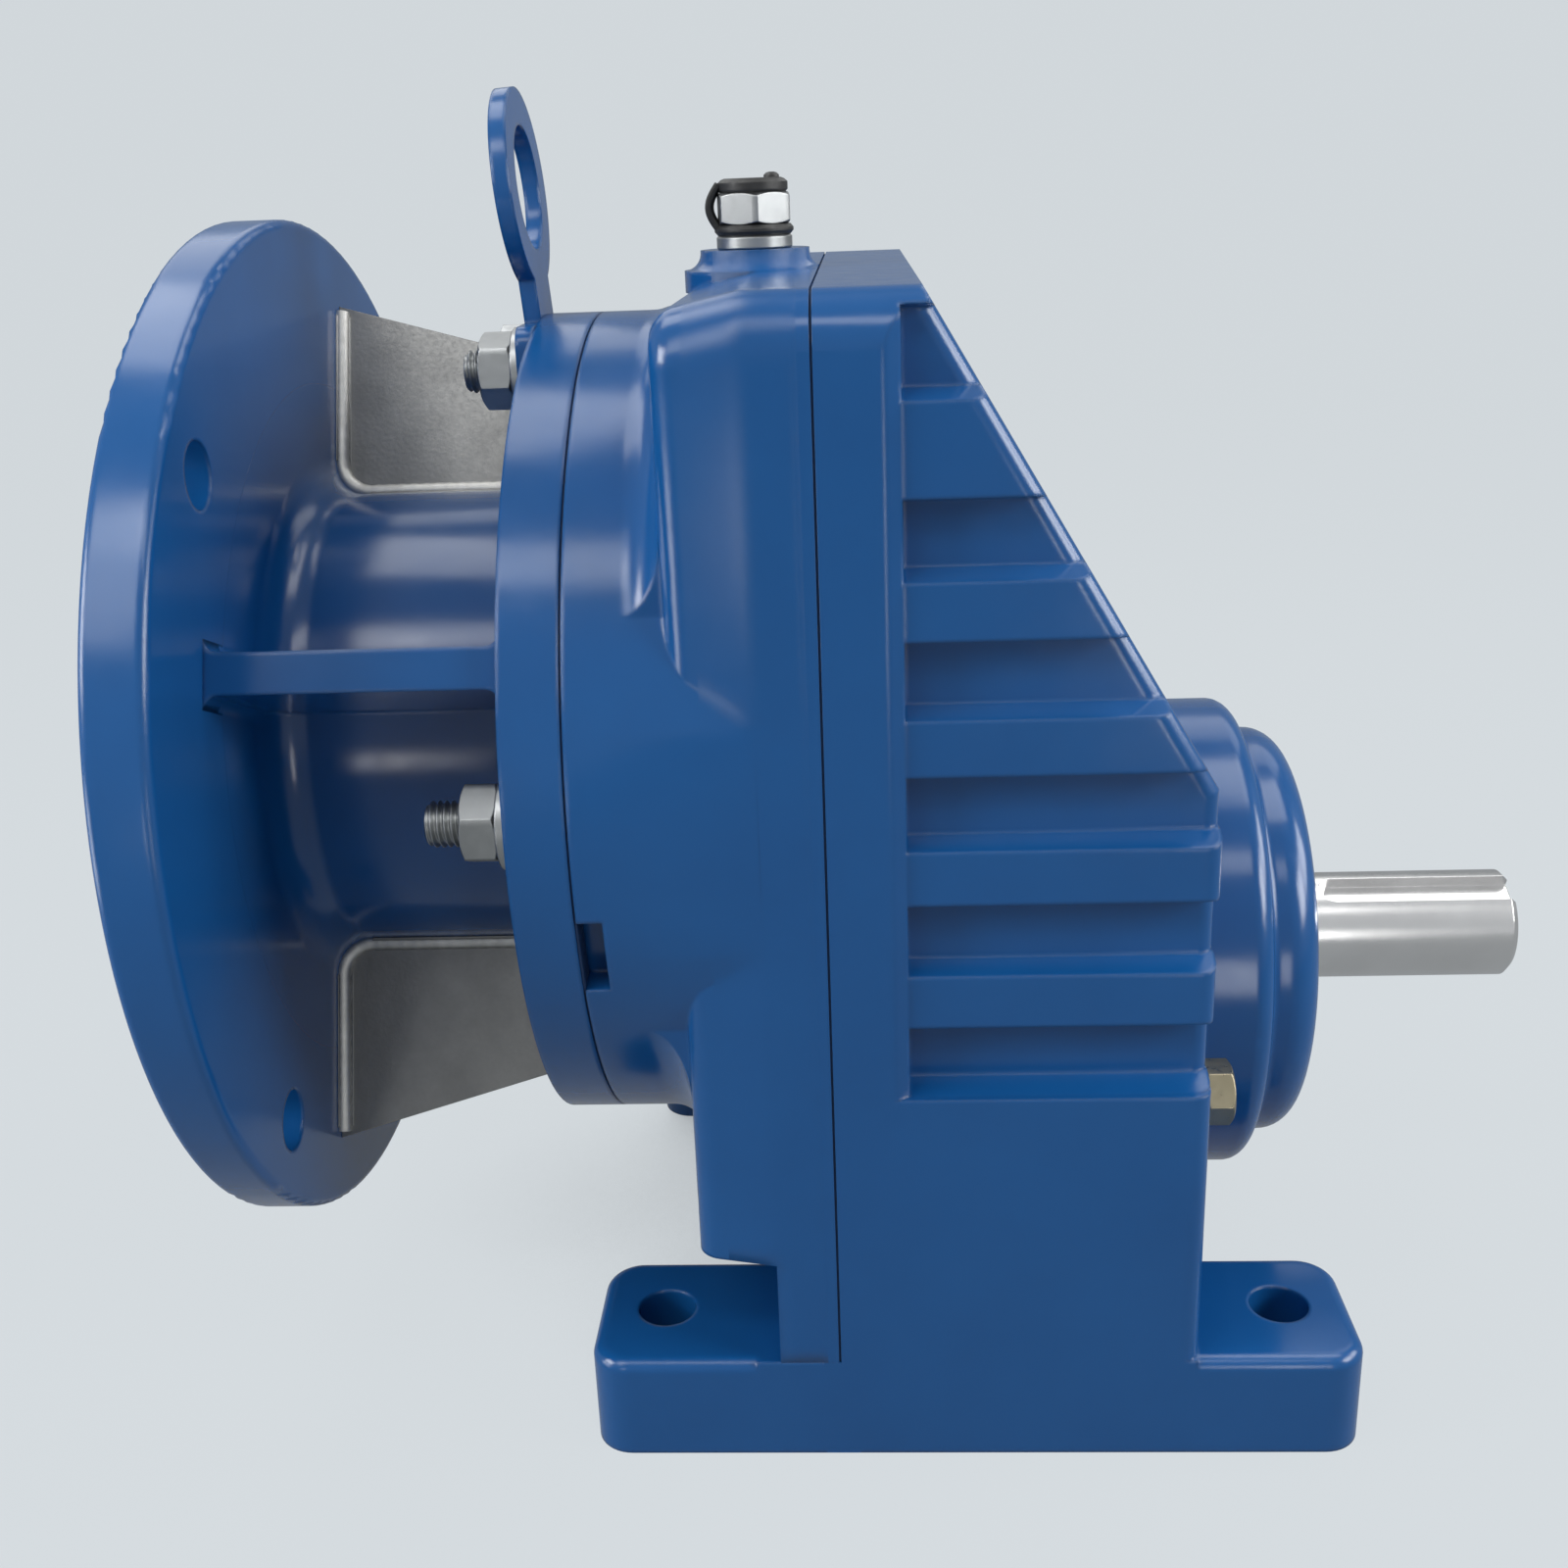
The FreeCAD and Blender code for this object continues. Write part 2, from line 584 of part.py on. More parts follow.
def gear_housing():
    ribs = flank_solid(PANEL_HALF)
    for shape in groove_cutters():
        for cutter in both_sides(shape):
            ribs = ribs.cut(cutter)
    core = flank_solid(PANEL_HALF - GROOVE_DEPTH)
    lower = block(HOUSING_FACE_X, CASE_END_X, -HALF_WIDTH, HALF_WIDTH, 0, PANEL_BOTTOM)
    lower = round_edges(lower, BASE_ROUNDING, lambda edge: stands_at_x(edge, CASE_END_X))
    base = block(-PAD_INNER_X, PAD_INNER_X, -HALF_WIDTH, HALF_WIDTH, 0, FOOT_THICKNESS)
    outer = fuse_all([ridge(), ribs, core, lower, base, output_boss()] + feet())
    cavity = prism_y(case_profile(HOUSING_FACE_X - OVERSHOOT, CASE_WALL), -CAVITY_HALF, CAVITY_HALF)
    cavity = cavity.cut(block(-FOOT_LENGTH, HOUSING_FACE_X, -CASE_WIDTH, CASE_WIDTH, 0, CASE_TOP))
    counter_end = COUNTER_FRONT_X + COUNTER_FRONT_WIDTH
    counter_boss = rod_x(COUNTER_FRONT_OUTER + BEARING_BOSS_WALL, COUNTER_FRONT_X, CASE_END_X, COUNTER_HEIGHT)
    cavity = cavity.cut(counter_boss)
    column_end = HOUSING_FACE_X + SCREW_GRIP + OVERSHOOT
    for y, z in screw_places():
        cavity = cavity.cut(rod_x(SCREW_COLUMN_RADIUS, HOUSING_FACE_X, column_end, z, y))
    front_end = OUTPUT_FRONT_X + OUTPUT_FRONT_WIDTH
    clip_x = OUTPUT_FRONT_X - CIRCLIP_THICKNESS
    cuts = [cavity,
            rod_x(OUTPUT_FRONT_OUTER, CASE_END_X - CASE_WALL - OVERSHOOT, front_end, OUTPUT_HEIGHT),
            rod_x(OUTPUT_SEAL_RADIUS, front_end, BOSS_END_X + OVERSHOOT, OUTPUT_HEIGHT),
            rod_x(OUTPUT_FRONT_OUTER + CIRCLIP_BITE, clip_x, OUTPUT_FRONT_X, OUTPUT_HEIGHT),
            rod_x(COUNTER_FRONT_OUTER, COUNTER_FRONT_X, counter_end, COUNTER_HEIGHT),
            seat_relief(COUNTER_FRONT_BEARING, COUNTER_HEIGHT, COUNTER_FRONT_X, counter_end + BEARING_RELIEF),
            rod_x(OIL_PLUG_THREAD_RADIUS, CASE_END_X - CASE_WALL - OVERSHOOT, CASE_END_X + OVERSHOOT,
                  OIL_PLUG_HEIGHT, OIL_PLUG_Y)]
    cuts += foot_holes()
    for y, z in screw_places():
        cuts.append(rod_x(SCREW_DIAMETER / 2, HOUSING_FACE_X - OVERSHOOT, HOUSING_FACE_X + SCREW_GRIP, z, y))
    for shape in cuts:
        outer = outer.cut(shape)
    keep("gear_housing", outer)


# Input cover, gasket and the screws that hold them

def breather_pad():
    """Raised seat under the breather, with a flare onto the case top."""
    spread = BREATHER_PAD_RADIUS + BREATHER_PAD_FLARE
    below = CASE_TOP - OVERSHOOT
    points = [(0.0, below), (spread, below), (spread, CASE_TOP), (BREATHER_PAD_RADIUS, CASE_TOP),
              (BREATHER_PAD_RADIUS, BREATHER_SEAT), (0.0, BREATHER_SEAT)]
    corners = [(Vector(BREATHER_X + r, 0, z), 0.0) for r, z in points]
    corners[3] = (corners[3][0], BREATHER_PAD_FLARE)
    return rounded_face(corners).revolve(Vector(BREATHER_X, 0, 0), Vector(0, 0, 1), 360)


def input_cover():
    back = rounded_section(CREASE_X, HALF_WIDTH, CASE_TOP, FOOT_THICKNESS)
    back = back.extrude(Vector(COVER_FACE_X - CREASE_X, 0, 0))
    front_side = HALF_WIDTH - SHOULDER_INSET
    front_top = CASE_TOP - SHOULDER_INSET
    front = rounded_section(SHOULDER_X, front_side, front_top, COVER_LIFT)
    crease = rounded_section(CREASE_X, HALF_WIDTH, CASE_TOP, COVER_LIFT)
    shoulder = Part.makeLoft([front.OuterWire, crease.OuterWire], True, True)

    def front_rim(edge):
        return lies_at_x(edge, SHOULDER_X) and edge.CenterOfMass.z > COVER_LIFT + TINY

    shoulder = round_edges(shoulder, SHOULDER_ROUNDING, front_rim)
    flared = RING_RADIUS + RING_FLARE
    outline = [(RING_X, 0), (RING_X, RING_RADIUS), (SHOULDER_X, RING_RADIUS), (SHOULDER_X, flared),
               (CREASE_X, flared), (CREASE_X, 0)]
    flare = turned_x(outline, INPUT_HEIGHT, {2: RING_FLARE})
    inside = rounded_section(RING_X, front_side - RING_FLARE / 2, front_top - RING_FLARE / 2, COVER_LIFT)
    flare = flare.common(inside.extrude(Vector(CREASE_X - RING_X, 0, 0)))
    ring = rod_x(RING_RADIUS, RING_X, CREASE_X, INPUT_HEIGHT)
    clear_of_feet = block(RING_X, -PAD_INNER_X, -CASE_WIDTH, CASE_WIDTH, 0, COVER_LIFT)
    beyond_split = block(COVER_FACE_X, CASE_END_X, -CASE_WIDTH, CASE_WIDTH, 0, 2 * CASE_TOP)
    outer = fuse_all([back, shoulder, flare, ring, breather_pad()]).cut(clear_of_feet).cut(beyond_split)
    room = rod_x(RING_RADIUS - CASE_WALL, RING_X + FRONT_WALL, CREASE_X, INPUT_HEIGHT)
    room = room.fuse(block(SHOULDER_X + CASE_WALL, COVER_FACE_X, -CAVITY_HALF, CAVITY_HALF,
                           COVER_LIFT + CASE_WALL, CAVITY_TOP))
    room = room.fuse(block(CREASE_X, COVER_FACE_X, -CAVITY_HALF, CAVITY_HALF, COVER_FLOOR, CAVITY_TOP))
    rear_end = OUTPUT_REAR_X + OUTPUT_REAR_WIDTH
    room = room.cut(rod_x(OUTPUT_REAR_OUTER + BEARING_BOSS_WALL, RING_X, rear_end, OUTPUT_HEIGHT))
    for y, z in screw_places():
        room = room.cut(rod_x(SCREW_COLUMN_RADIUS, SHOULDER_X, COVER_FACE_X, z, y))
    cuts = [room,
            rod_x(OUTPUT_REAR_OUTER, OUTPUT_REAR_X, rear_end, OUTPUT_HEIGHT),
            rod_x(COUNTER_REAR_OUTER, COUNTER_REAR_X, RING_X + FRONT_WALL, COUNTER_HEIGHT),
            seat_relief(OUTPUT_REAR_BEARING, OUTPUT_HEIGHT, OUTPUT_REAR_X - BEARING_RELIEF, OUTPUT_REAR_X),
            seat_relief(COUNTER_REAR_BEARING, COUNTER_HEIGHT, COUNTER_REAR_X - BEARING_RELIEF, COUNTER_REAR_X),
            seat_relief(INPUT_INNER_BEARING, INPUT_HEIGHT, RING_X - OVERSHOOT, INPUT_SEAL_X),
            rod_x(INPUT_SEAL_RADIUS, RING_X - OVERSHOOT, INPUT_SEAL_X + INPUT_SEAL_WIDTH, INPUT_HEIGHT),
            rod_x(PINION_SHAFT_RADIUS + SHAFT_PASSAGE, RING_X, RING_X + FRONT_WALL, INPUT_HEIGHT),
            rod_z(BREATHER_THREAD_RADIUS, CAVITY_TOP - OVERSHOOT, BREATHER_SEAT + OVERSHOOT, BREATHER_X),
            pry_slot()]
    for angle in STUD_ANGLES:
        y, z = around_input(angle, STUD_CIRCLE_RADIUS)
        cuts.append(rod_x(STUD_DIAMETER / 2, RING_X - OVERSHOOT, RING_X + STUD_GRIP, z, y))
    for y, z in screw_places():
        cuts.append(rod_x(SCREW_DIAMETER / 2 + DRILL_CLEARANCE, SHOULDER_X - OVERSHOOT, SPLIT_X, z, y))
        cuts.append(rod_x(SCREW_HEAD_RADIUS + DRILL_CLEARANCE, SHOULDER_X - OVERSHOOT, SCREW_SEAT_X, z, y))
    for shape in cuts:
        outer = outer.cut(shape)
    keep("input_cover", outer)


def pry_slot():
    """Slot beside the adapter joint, where the two castings are prised apart."""
    slot = block(RING_X, RING_X + PRY_SLOT_WIDTH, -PRY_SLOT_LENGTH / 2, PRY_SLOT_LENGTH / 2,
                 INPUT_HEIGHT + RING_RADIUS - PRY_SLOT_DEPTH, INPUT_HEIGHT + RING_RADIUS + OVERSHOOT)
    return turn_to(slot, PRY_SLOT_ANGLE)


def case_gasket():
    half = HALF_WIDTH - GASKET_INSET
    plate = rounded_section(COVER_FACE_X, half, CASE_TOP - GASKET_INSET, FOOT_THICKNESS)
    plate = plate.extrude(Vector(GASKET_THICKNESS, 0, 0))
    opening = block(COVER_FACE_X, HOUSING_FACE_X, -CAVITY_HALF, CAVITY_HALF, COVER_FLOOR, CAVITY_TOP)
    for y, z in screw_places():
        opening = opening.cut(rod_x(SCREW_COLUMN_RADIUS, COVER_FACE_X, HOUSING_FACE_X, z, y))
    plate = plate.cut(opening)
    for y, z in screw_places():
        plate = plate.cut(rod_x(SCREW_DIAMETER / 2 + DRILL_CLEARANCE, COVER_FACE_X, HOUSING_FACE_X, z, y))
    keep("case_gasket", plate)


def adapter_gasket():
    plate = ring_x(RING_RADIUS - GASKET_INSET, ADAPTER_GASKET_BORE, ADAPTER_FACE_X, RING_X, INPUT_HEIGHT)
    for angle in STUD_ANGLES:
        y, z = around_input(angle, STUD_CIRCLE_RADIUS)
        plate = plate.cut(rod_x(STUD_DIAMETER / 2 + DRILL_CLEARANCE, ADAPTER_FACE_X, RING_X, z, y))
    keep("adapter_gasket", plate)


def case_screws():
    screws = []
    for y, z in screw_places():
        shank = rod_x(SCREW_DIAMETER / 2, SCREW_SEAT_X, HOUSING_FACE_X + SCREW_GRIP, z, y)
        head = rod_x(SCREW_HEAD_RADIUS, SCREW_SEAT_X - SCREW_HEAD_HEIGHT, SCREW_SEAT_X, z, y)
        socket = hexagon(SCREW_SOCKET_FLATS, Vector(SCREW_SEAT_X - SCREW_HEAD_HEIGHT, y, z), Vector(1, 0, 0),
                         SCREW_HEAD_HEIGHT / 2, Vector(0, 0, 1))
        screws.append(head.fuse(shank).removeSplitter().cut(socket))
    keep("case_screws", Part.makeCompound(screws))


# Motor adapter, its gussets, studs and lifting eye

def flange_ring():
    """Turned ring of the motor flange; its inner step is seated round the end plate of the bell."""
    rim = FLANGE_DIAMETER / 2
    pilot = PILOT_DIAMETER / 2
    outline = [(MOTOR_FACE_X, pilot), (MOTOR_FACE_X, rim), (FLANGE_FACE_X, rim),
               (FLANGE_FACE_X, END_PLATE_RADIUS), (PILOT_FLOOR_X, END_PLATE_RADIUS), (PILOT_FLOOR_X, pilot)]
    return turned_x(outline, INPUT_HEIGHT, {1: FLANGE_EDGE_RADIUS, 2: FLANGE_EDGE_RADIUS})


def motor_flange():
    ring = flange_ring()
    for angle in FLANGE_BOLT_ANGLES:
        y, z = around_input(angle, FLANGE_BOLT_RADIUS)
        ring = ring.cut(rod_x(FLANGE_HOLE_DIAMETER / 2, MOTOR_FACE_X, FLANGE_FACE_X, z, y))
    keep("motor_flange", ring)


def motor_adapter():
    disc = rod_x(RING_RADIUS, DISC_X, ADAPTER_FACE_X, INPUT_HEIGHT)
    outline = [(PILOT_FLOOR_X, 0), (PILOT_FLOOR_X, END_PLATE_RADIUS), (FLANGE_FACE_X, END_PLATE_RADIUS),
               (FLANGE_FACE_X, BELL_RADIUS), (DISC_X, BELL_RADIUS), (DISC_X, 0)]
    bell = turned_x(outline, INPUT_HEIGHT, {3: BELL_FILLET})
    shapes = [disc, bell]
    half = WEB_THICKNESS / 2
    wide = half + WEB_FLARE
    sunk = half / 2
    side = [(FLANGE_FACE_X - sunk, wide), (FLANGE_FACE_X, wide), (FLANGE_FACE_X, half),
            (DISC_X, half), (DISC_X, wide), (DISC_X + sunk, wide)]
    plan = side + [(x, -y) for x, y in reversed(side)]
    corners = []
    for x, y in plan:
        corners.append((Vector(x, y, INPUT_HEIGHT + BELL_BORE_RADIUS), WEB_FLARE if abs(y) == half else 0.0))
    web = rounded_face(corners).extrude(Vector(0, 0, WEB_RADIUS - BELL_BORE_RADIUS))
    for angle in (WEB_ANGLE, WEB_ANGLE + 180):
        shapes.append(turn_to(web, angle))
    body = fuse_all(shapes)
    clip_x = INPUT_OUTER_X - CIRCLIP_THICKNESS
    bell_end = clip_x - CIRCLIP_THICKNESS
    cuts = [flange_ring(),
            rod_x(BELL_BORE_RADIUS, MOTOR_FACE_X, bell_end, INPUT_HEIGHT),
            rod_x(INPUT_PAIR_OUTER, bell_end - OVERSHOOT, RING_X, INPUT_HEIGHT),
            rod_x(INPUT_PAIR_OUTER + CIRCLIP_BITE, clip_x, INPUT_OUTER_X, INPUT_HEIGHT)]
    for angle in STUD_ANGLES:
        y, z = around_input(angle, STUD_CIRCLE_RADIUS)
        cuts.append(rod_x(STUD_DIAMETER / 2 + DRILL_CLEARANCE, DISC_X - OVERSHOOT, RING_X, z, y))
    for shape in cuts:
        body = body.cut(shape)
    keep("motor_adapter", body)


def gussets():
    """Bare plates that follow the bell and the flange, with a fillet weld along both joints."""
    inner = INPUT_HEIGHT + BELL_RADIUS + SEAT_CLEARANCE
    rim = INPUT_HEIGHT + GUSSET_FLANGE_RADIUS
    half = GUSSET_THICKNESS / 2
    flare_end = FLANGE_FACE_X + BELL_FILLET
    flare_top = inner + BELL_FILLET
    disc_end = INPUT_HEIGHT + GUSSET_DISC_RADIUS
    outline = [(FLANGE_FACE_X, inner), (DISC_X, inner), (DISC_X, disc_end), (FLANGE_FACE_X, rim)]
    corners = [(Vector(x, -half, z), 0.0) for x, z in outline]
    corners[0] = (corners[0][0], BELL_FILLET)
    plate = rounded_face(corners).extrude(Vector(0, GUSSET_THICKNESS, 0))
    toe = -half - WELD_LEG
    outline = [(FLANGE_FACE_X, toe), (FLANGE_FACE_X + WELD_LEG, -half), (FLANGE_FACE_X, -half)]
    flange_weld = face_of([Vector(x, y, flare_top) for x, y in outline])
    flange_weld = flange_weld.extrude(Vector(0, 0, rim - flare_top - WELD_LEG))
    outline = [(toe, inner - WELD_LEG), (toe, inner), (-half, inner + WELD_LEG), (-half, inner - WELD_LEG)]
    bell_weld = prism_x(outline, flare_end, DISC_X)
    plate = fuse_all([plate] + both_sides(flange_weld) + both_sides(bell_weld))
    plate = plate.cut(rod_x(BELL_RADIUS + SEAT_CLEARANCE, FLANGE_FACE_X, DISC_X, INPUT_HEIGHT))
    for name, angle in (("upper_gusset", WEB_ANGLE + 90), ("lower_gusset", WEB_ANGLE + 270)):
        keep(name, turn_to(plate, angle))


def adapter_fasteners():
    studs = []
    nuts = []
    washers = []
    for angle in STUD_ANGLES:
        y, z = around_input(angle, STUD_CIRCLE_RADIUS)
        face = DISC_X - (EYE_THICKNESS if angle in EYE_STUD_ANGLES else 0.0)
        nut_face = face - WASHER_THICKNESS
        studs.append(rod_x(STUD_DIAMETER / 2, DISC_X - STUD_PROJECTION, RING_X + STUD_GRIP, z, y))
        washers.append(ring_x(WASHER_RADIUS, STUD_DIAMETER / 2, nut_face, face, z, y))
        nut_end = nut_face - NUT_HEIGHT
        nut = hexagon(NUT_FLATS, Vector(nut_end, y, z), Vector(1, 0, 0), NUT_HEIGHT, Vector(0, 1, 0))
        nuts.append(nut.cut(rod_x(STUD_DIAMETER / 2, nut_end, nut_face, z, y)))
    keep("adapter_studs", Part.makeCompound(studs))
    keep("adapter_nuts", Part.makeCompound(nuts))
    keep("adapter_washers", Part.makeCompound(washers))


def lifting_eye():
    """Plate with a wide foot under two nuts; above the disc it leans outwards and ends in a ring."""
    left = DISC_X - EYE_THICKNESS
    thick = Vector(EYE_THICKNESS, 0, 0)
    foot_z = around_input(EYE_STUD_ANGLES[0], STUD_CIRCLE_RADIUS)[1]
    low = foot_z - EYE_FOOT_DROP
    bend_z = foot_z + EYE_FOOT_RISE
    half_foot = EYE_FOOT_WIDTH / 2
    foot = rounded_face([(Vector(left, y, z), EYE_FOOT_ROUNDING) for y, z in
                         ((-half_foot, low), (half_foot, low), (half_foot, bend_z), (-half_foot, bend_z))])
    centre_z = foot_z + EYE_RISE
    half_neck = EYE_NECK_WIDTH / 2
    neck = block(left, DISC_X, -half_neck, half_neck, bend_z, centre_z)
    ring = rod_x(EYE_HOLE_RADIUS + EYE_RIM, left, DISC_X, centre_z)
    hole = rod_x(EYE_HOLE_RADIUS, left - OVERSHOOT, DISC_X + OVERSHOOT, centre_z)
    upper = neck.fuse(ring).removeSplitter().cut(hole)
    upper.rotate(Vector(DISC_X, 0, bend_z), Vector(0, 1, 0), -EYE_LEAN)
    plate = foot.extrude(thick).fuse(upper).removeSplitter()
    for angle in EYE_STUD_ANGLES:
        y, z = around_input(angle, STUD_CIRCLE_RADIUS)
        plate = plate.cut(rod_x(STUD_DIAMETER / 2 + DRILL_CLEARANCE, left, DISC_X, z, y))
    keep("lifting_eye", plate)


# Breather and oil plug

def breather():
    collar_top = BREATHER_SEAT + BREATHER_COLLAR_HEIGHT
    hex_bottom = collar_top + BREATHER_SEAL_HEIGHT
    hex_top = hex_bottom + BREATHER_HEX_HEIGHT
    stem = rod_z(BREATHER_THREAD_RADIUS, CAVITY_TOP, hex_bottom, BREATHER_X)
    collar = rod_z(BREATHER_COLLAR_RADIUS, BREATHER_SEAT, collar_top, BREATHER_X)
    turn = math.radians(BREATHER_TURN)
    corner = Vector(math.sin(turn), -math.cos(turn), 0)
    up = Vector(0, 0, 1)
    head = hexagon(BREATHER_HEX_FLATS, Vector(BREATHER_X, 0, hex_bottom), up, BREATHER_HEX_HEIGHT, corner)
    keep("breather_plug", fuse_all([stem, collar, head]))
    seal = rod_z(BREATHER_SEAL_RADIUS, collar_top, hex_bottom, BREATHER_X)
    keep("breather_seal", seal.cut(rod_z(BREATHER_THREAD_RADIUS, collar_top, hex_bottom, BREATHER_X)))
    cap_top = hex_top + BREATHER_CAP_HEIGHT
    cap = rod_z(BREATHER_CAP_RADIUS, hex_top, cap_top, BREATHER_X)
    rim = [edge for edge in cap.Edges if edge.CenterOfMass.z > cap_top - TINY]
    keep("breather_cap", cap.makeChamfer(BREATHER_CAP_CHAMFER, rim))


def oil_level_plug():
    seat = CASE_END_X + OIL_WASHER_THICKNESS
    head = hexagon(OIL_PLUG_FLATS, Vector(seat, OIL_PLUG_Y, OIL_PLUG_HEIGHT), Vector(1, 0, 0), OIL_PLUG_HEAD,
                   Vector(0, 1, 0))
    thread = rod_x(OIL_PLUG_THREAD_RADIUS, CASE_END_X - CASE_WALL, seat, OIL_PLUG_HEIGHT, OIL_PLUG_Y)
    keep("oil_level_plug", head.fuse(thread).removeSplitter())
    keep("oil_plug_washer", ring_x(OIL_WASHER_RADIUS, OIL_PLUG_THREAD_RADIUS, CASE_END_X, seat,
                                   OIL_PLUG_HEIGHT, OIL_PLUG_Y))


# Bearings, circlips and seals

def bearing(name, size, height):
    """Outer ring, inner ring and a set of rollers between them."""
    bore, outer, width, x0 = size
    ring = RING_SHARE * (outer - bore)
    track = outer - bore - 2 * ring
    keep(name + "_outer_ring", ring_x(outer, outer - ring, x0, x0 + width, height))
    keep(name + "_inner_ring", ring_x(bore + ring, bore, x0, x0 + width, height))
    radius = track / 2 - ROLLER_PLAY
    middle = bore + ring + track / 2
    rollers = []
    for number in range(ROLLER_COUNT):
        turn = 2 * math.pi * number / ROLLER_COUNT
        rollers.append(rod_x(radius, x0 + ROLLER_END_ROOM, x0 + width - ROLLER_END_ROOM,
                             height + middle * math.cos(turn), middle * math.sin(turn)))
    keep(name + "_rollers", Part.makeCompound(rollers))


def bearings():
    for name, size, height in (("output_rear_bearing", OUTPUT_REAR_BEARING, OUTPUT_HEIGHT),
                               ("output_front_bearing", OUTPUT_FRONT_BEARING, OUTPUT_HEIGHT),
                               ("counter_rear_bearing", COUNTER_REAR_BEARING, COUNTER_HEIGHT),
                               ("counter_front_bearing", COUNTER_FRONT_BEARING, COUNTER_HEIGHT),
                               ("input_outer_bearing", INPUT_OUTER_BEARING, INPUT_HEIGHT),
                               ("input_inner_bearing", INPUT_INNER_BEARING, INPUT_HEIGHT)):
        bearing(name, size, height)


def circlips():
    for name, size, height in (("output_bearing_circlip", OUTPUT_FRONT_BEARING, OUTPUT_HEIGHT),
                               ("input_bearing_circlip", INPUT_OUTER_BEARING, INPUT_HEIGHT)):
        outer, x0 = size[1], size[3]
        keep(name, ring_x(outer + CIRCLIP_BITE, outer - CIRCLIP_LIP, x0 - CIRCLIP_THICKNESS, x0, height))


def seals():
    keep("output_seal", ring_x(OUTPUT_SEAL_RADIUS, SEAL_JOURNAL_RADIUS + SEAL_RUNNING_GAP,
                               BOSS_END_X - OUTPUT_SEAL_WIDTH, BOSS_END_X, OUTPUT_HEIGHT))
    keep("input_seal", ring_x(INPUT_SEAL_RADIUS, PINION_SHAFT_RADIUS + SEAL_RUNNING_GAP,
                              INPUT_SEAL_X, INPUT_SEAL_X + INPUT_SEAL_WIDTH, INPUT_HEIGHT))
    ring = RING_SHARE * (INPUT_PAIR_OUTER - INPUT_PAIR_BORE)
    keep("input_bearing_spacer", ring_x(INPUT_PAIR_OUTER, INPUT_PAIR_OUTER - ring,
                                        INPUT_OUTER_X + INPUT_PAIR_WIDTH, INPUT_INNER_X, INPUT_HEIGHT))


# Shafts and gears

def input_shaft():
    inner_end = INPUT_INNER_X + INPUT_PAIR_WIDTH
    pinion_root = STAGE1_MODULE * (INPUT_TEETH / 2 - DEDENDUM)
    neck_x = STAGE1_X - PINION_EXTRA
    outline = [(QUILL_END_X, 0), (QUILL_END_X, QUILL_RADIUS), (INPUT_OUTER_X, QUILL_RADIUS),
               (INPUT_OUTER_X, INPUT_PAIR_BORE), (inner_end, INPUT_PAIR_BORE), (inner_end, PINION_SHAFT_RADIUS),
               (neck_x, PINION_SHAFT_RADIUS), (neck_x, pinion_root), (STAGE1_X, pinion_root), (STAGE1_X, 0)]
    shaft = turned_x(outline, INPUT_HEIGHT)
    pinion = gear_blank(INPUT_TEETH, STAGE1_MODULE, STAGE1_WIDTH, STAGE1_X, INPUT_HEIGHT)
    shaft = shaft.fuse(pinion).removeSplitter()
    motor_bore = rod_x(MOTOR_BORE_DIAMETER / 2, QUILL_END_X, QUILL_END_X + MOTOR_BORE_LENGTH, INPUT_HEIGHT)
    half_key = MOTOR_KEYWAY_WIDTH / 2
    keyway = block(QUILL_END_X, QUILL_END_X + MOTOR_BORE_LENGTH, -half_key, half_key,
                   INPUT_HEIGHT, INPUT_HEIGHT + MOTOR_BORE_DIAMETER / 2 + MOTOR_KEYWAY_DEPTH)
    keep("input_shaft", shaft.cut(motor_bore.fuse(keyway)))


def counter_shaft():
    rear_end = COUNTER_REAR_X + COUNTER_REAR_WIDTH
    front_end = COUNTER_FRONT_X + COUNTER_FRONT_WIDTH
    seat = PINION_SHAFT_RADIUS
    gear_end = STAGE1_X + STAGE1_WIDTH
    pinion_start = STAGE2_X - PINION_EXTRA
    pinion_end = STAGE2_X + STAGE2_WIDTH + PINION_EXTRA
    collar = seat + SPACER_WALL
    outline = [(COUNTER_REAR_X, 0), (COUNTER_REAR_X, COUNTER_REAR_BORE), (rear_end, COUNTER_REAR_BORE),
               (rear_end, seat), (gear_end, seat), (gear_end, collar), (pinion_start, collar),
               (pinion_start, 0)]
    shaft = turned_x(outline, COUNTER_HEIGHT)
    pinion_width = pinion_end - pinion_start
    pinion = gear_blank(COUNTER_PINION_TEETH, STAGE2_MODULE, pinion_width, pinion_start, COUNTER_HEIGHT)
    outline = [(pinion_end, 0), (pinion_end, seat), (COUNTER_FRONT_X, seat),
               (COUNTER_FRONT_X, COUNTER_FRONT_BORE), (front_end, COUNTER_FRONT_BORE), (front_end, 0)]
    tail = turned_x(outline, COUNTER_HEIGHT)
    shaft = fuse_all([shaft, pinion, tail])
    key_bar = key_cutter(STAGE1_X, gear_end, COUNTER_HEIGHT, seat, GEAR_HUB_SLOT, GEAR_KEY_DEPTH)
    keep("counter_shaft", shaft.cut(key_bar))
    gear = gear_blank(COUNTER_GEAR_TEETH, STAGE1_MODULE, STAGE1_WIDTH, STAGE1_X, COUNTER_HEIGHT, True)
    gear = gear.cut(rod_x(seat, STAGE1_X, gear_end, COUNTER_HEIGHT)).cut(key_bar)
    keep("counter_gear", gear)
    keep("counter_gear_key", key_bar)
    keep("counter_spacer", ring_x(collar, seat, rear_end, STAGE1_X, COUNTER_HEIGHT))


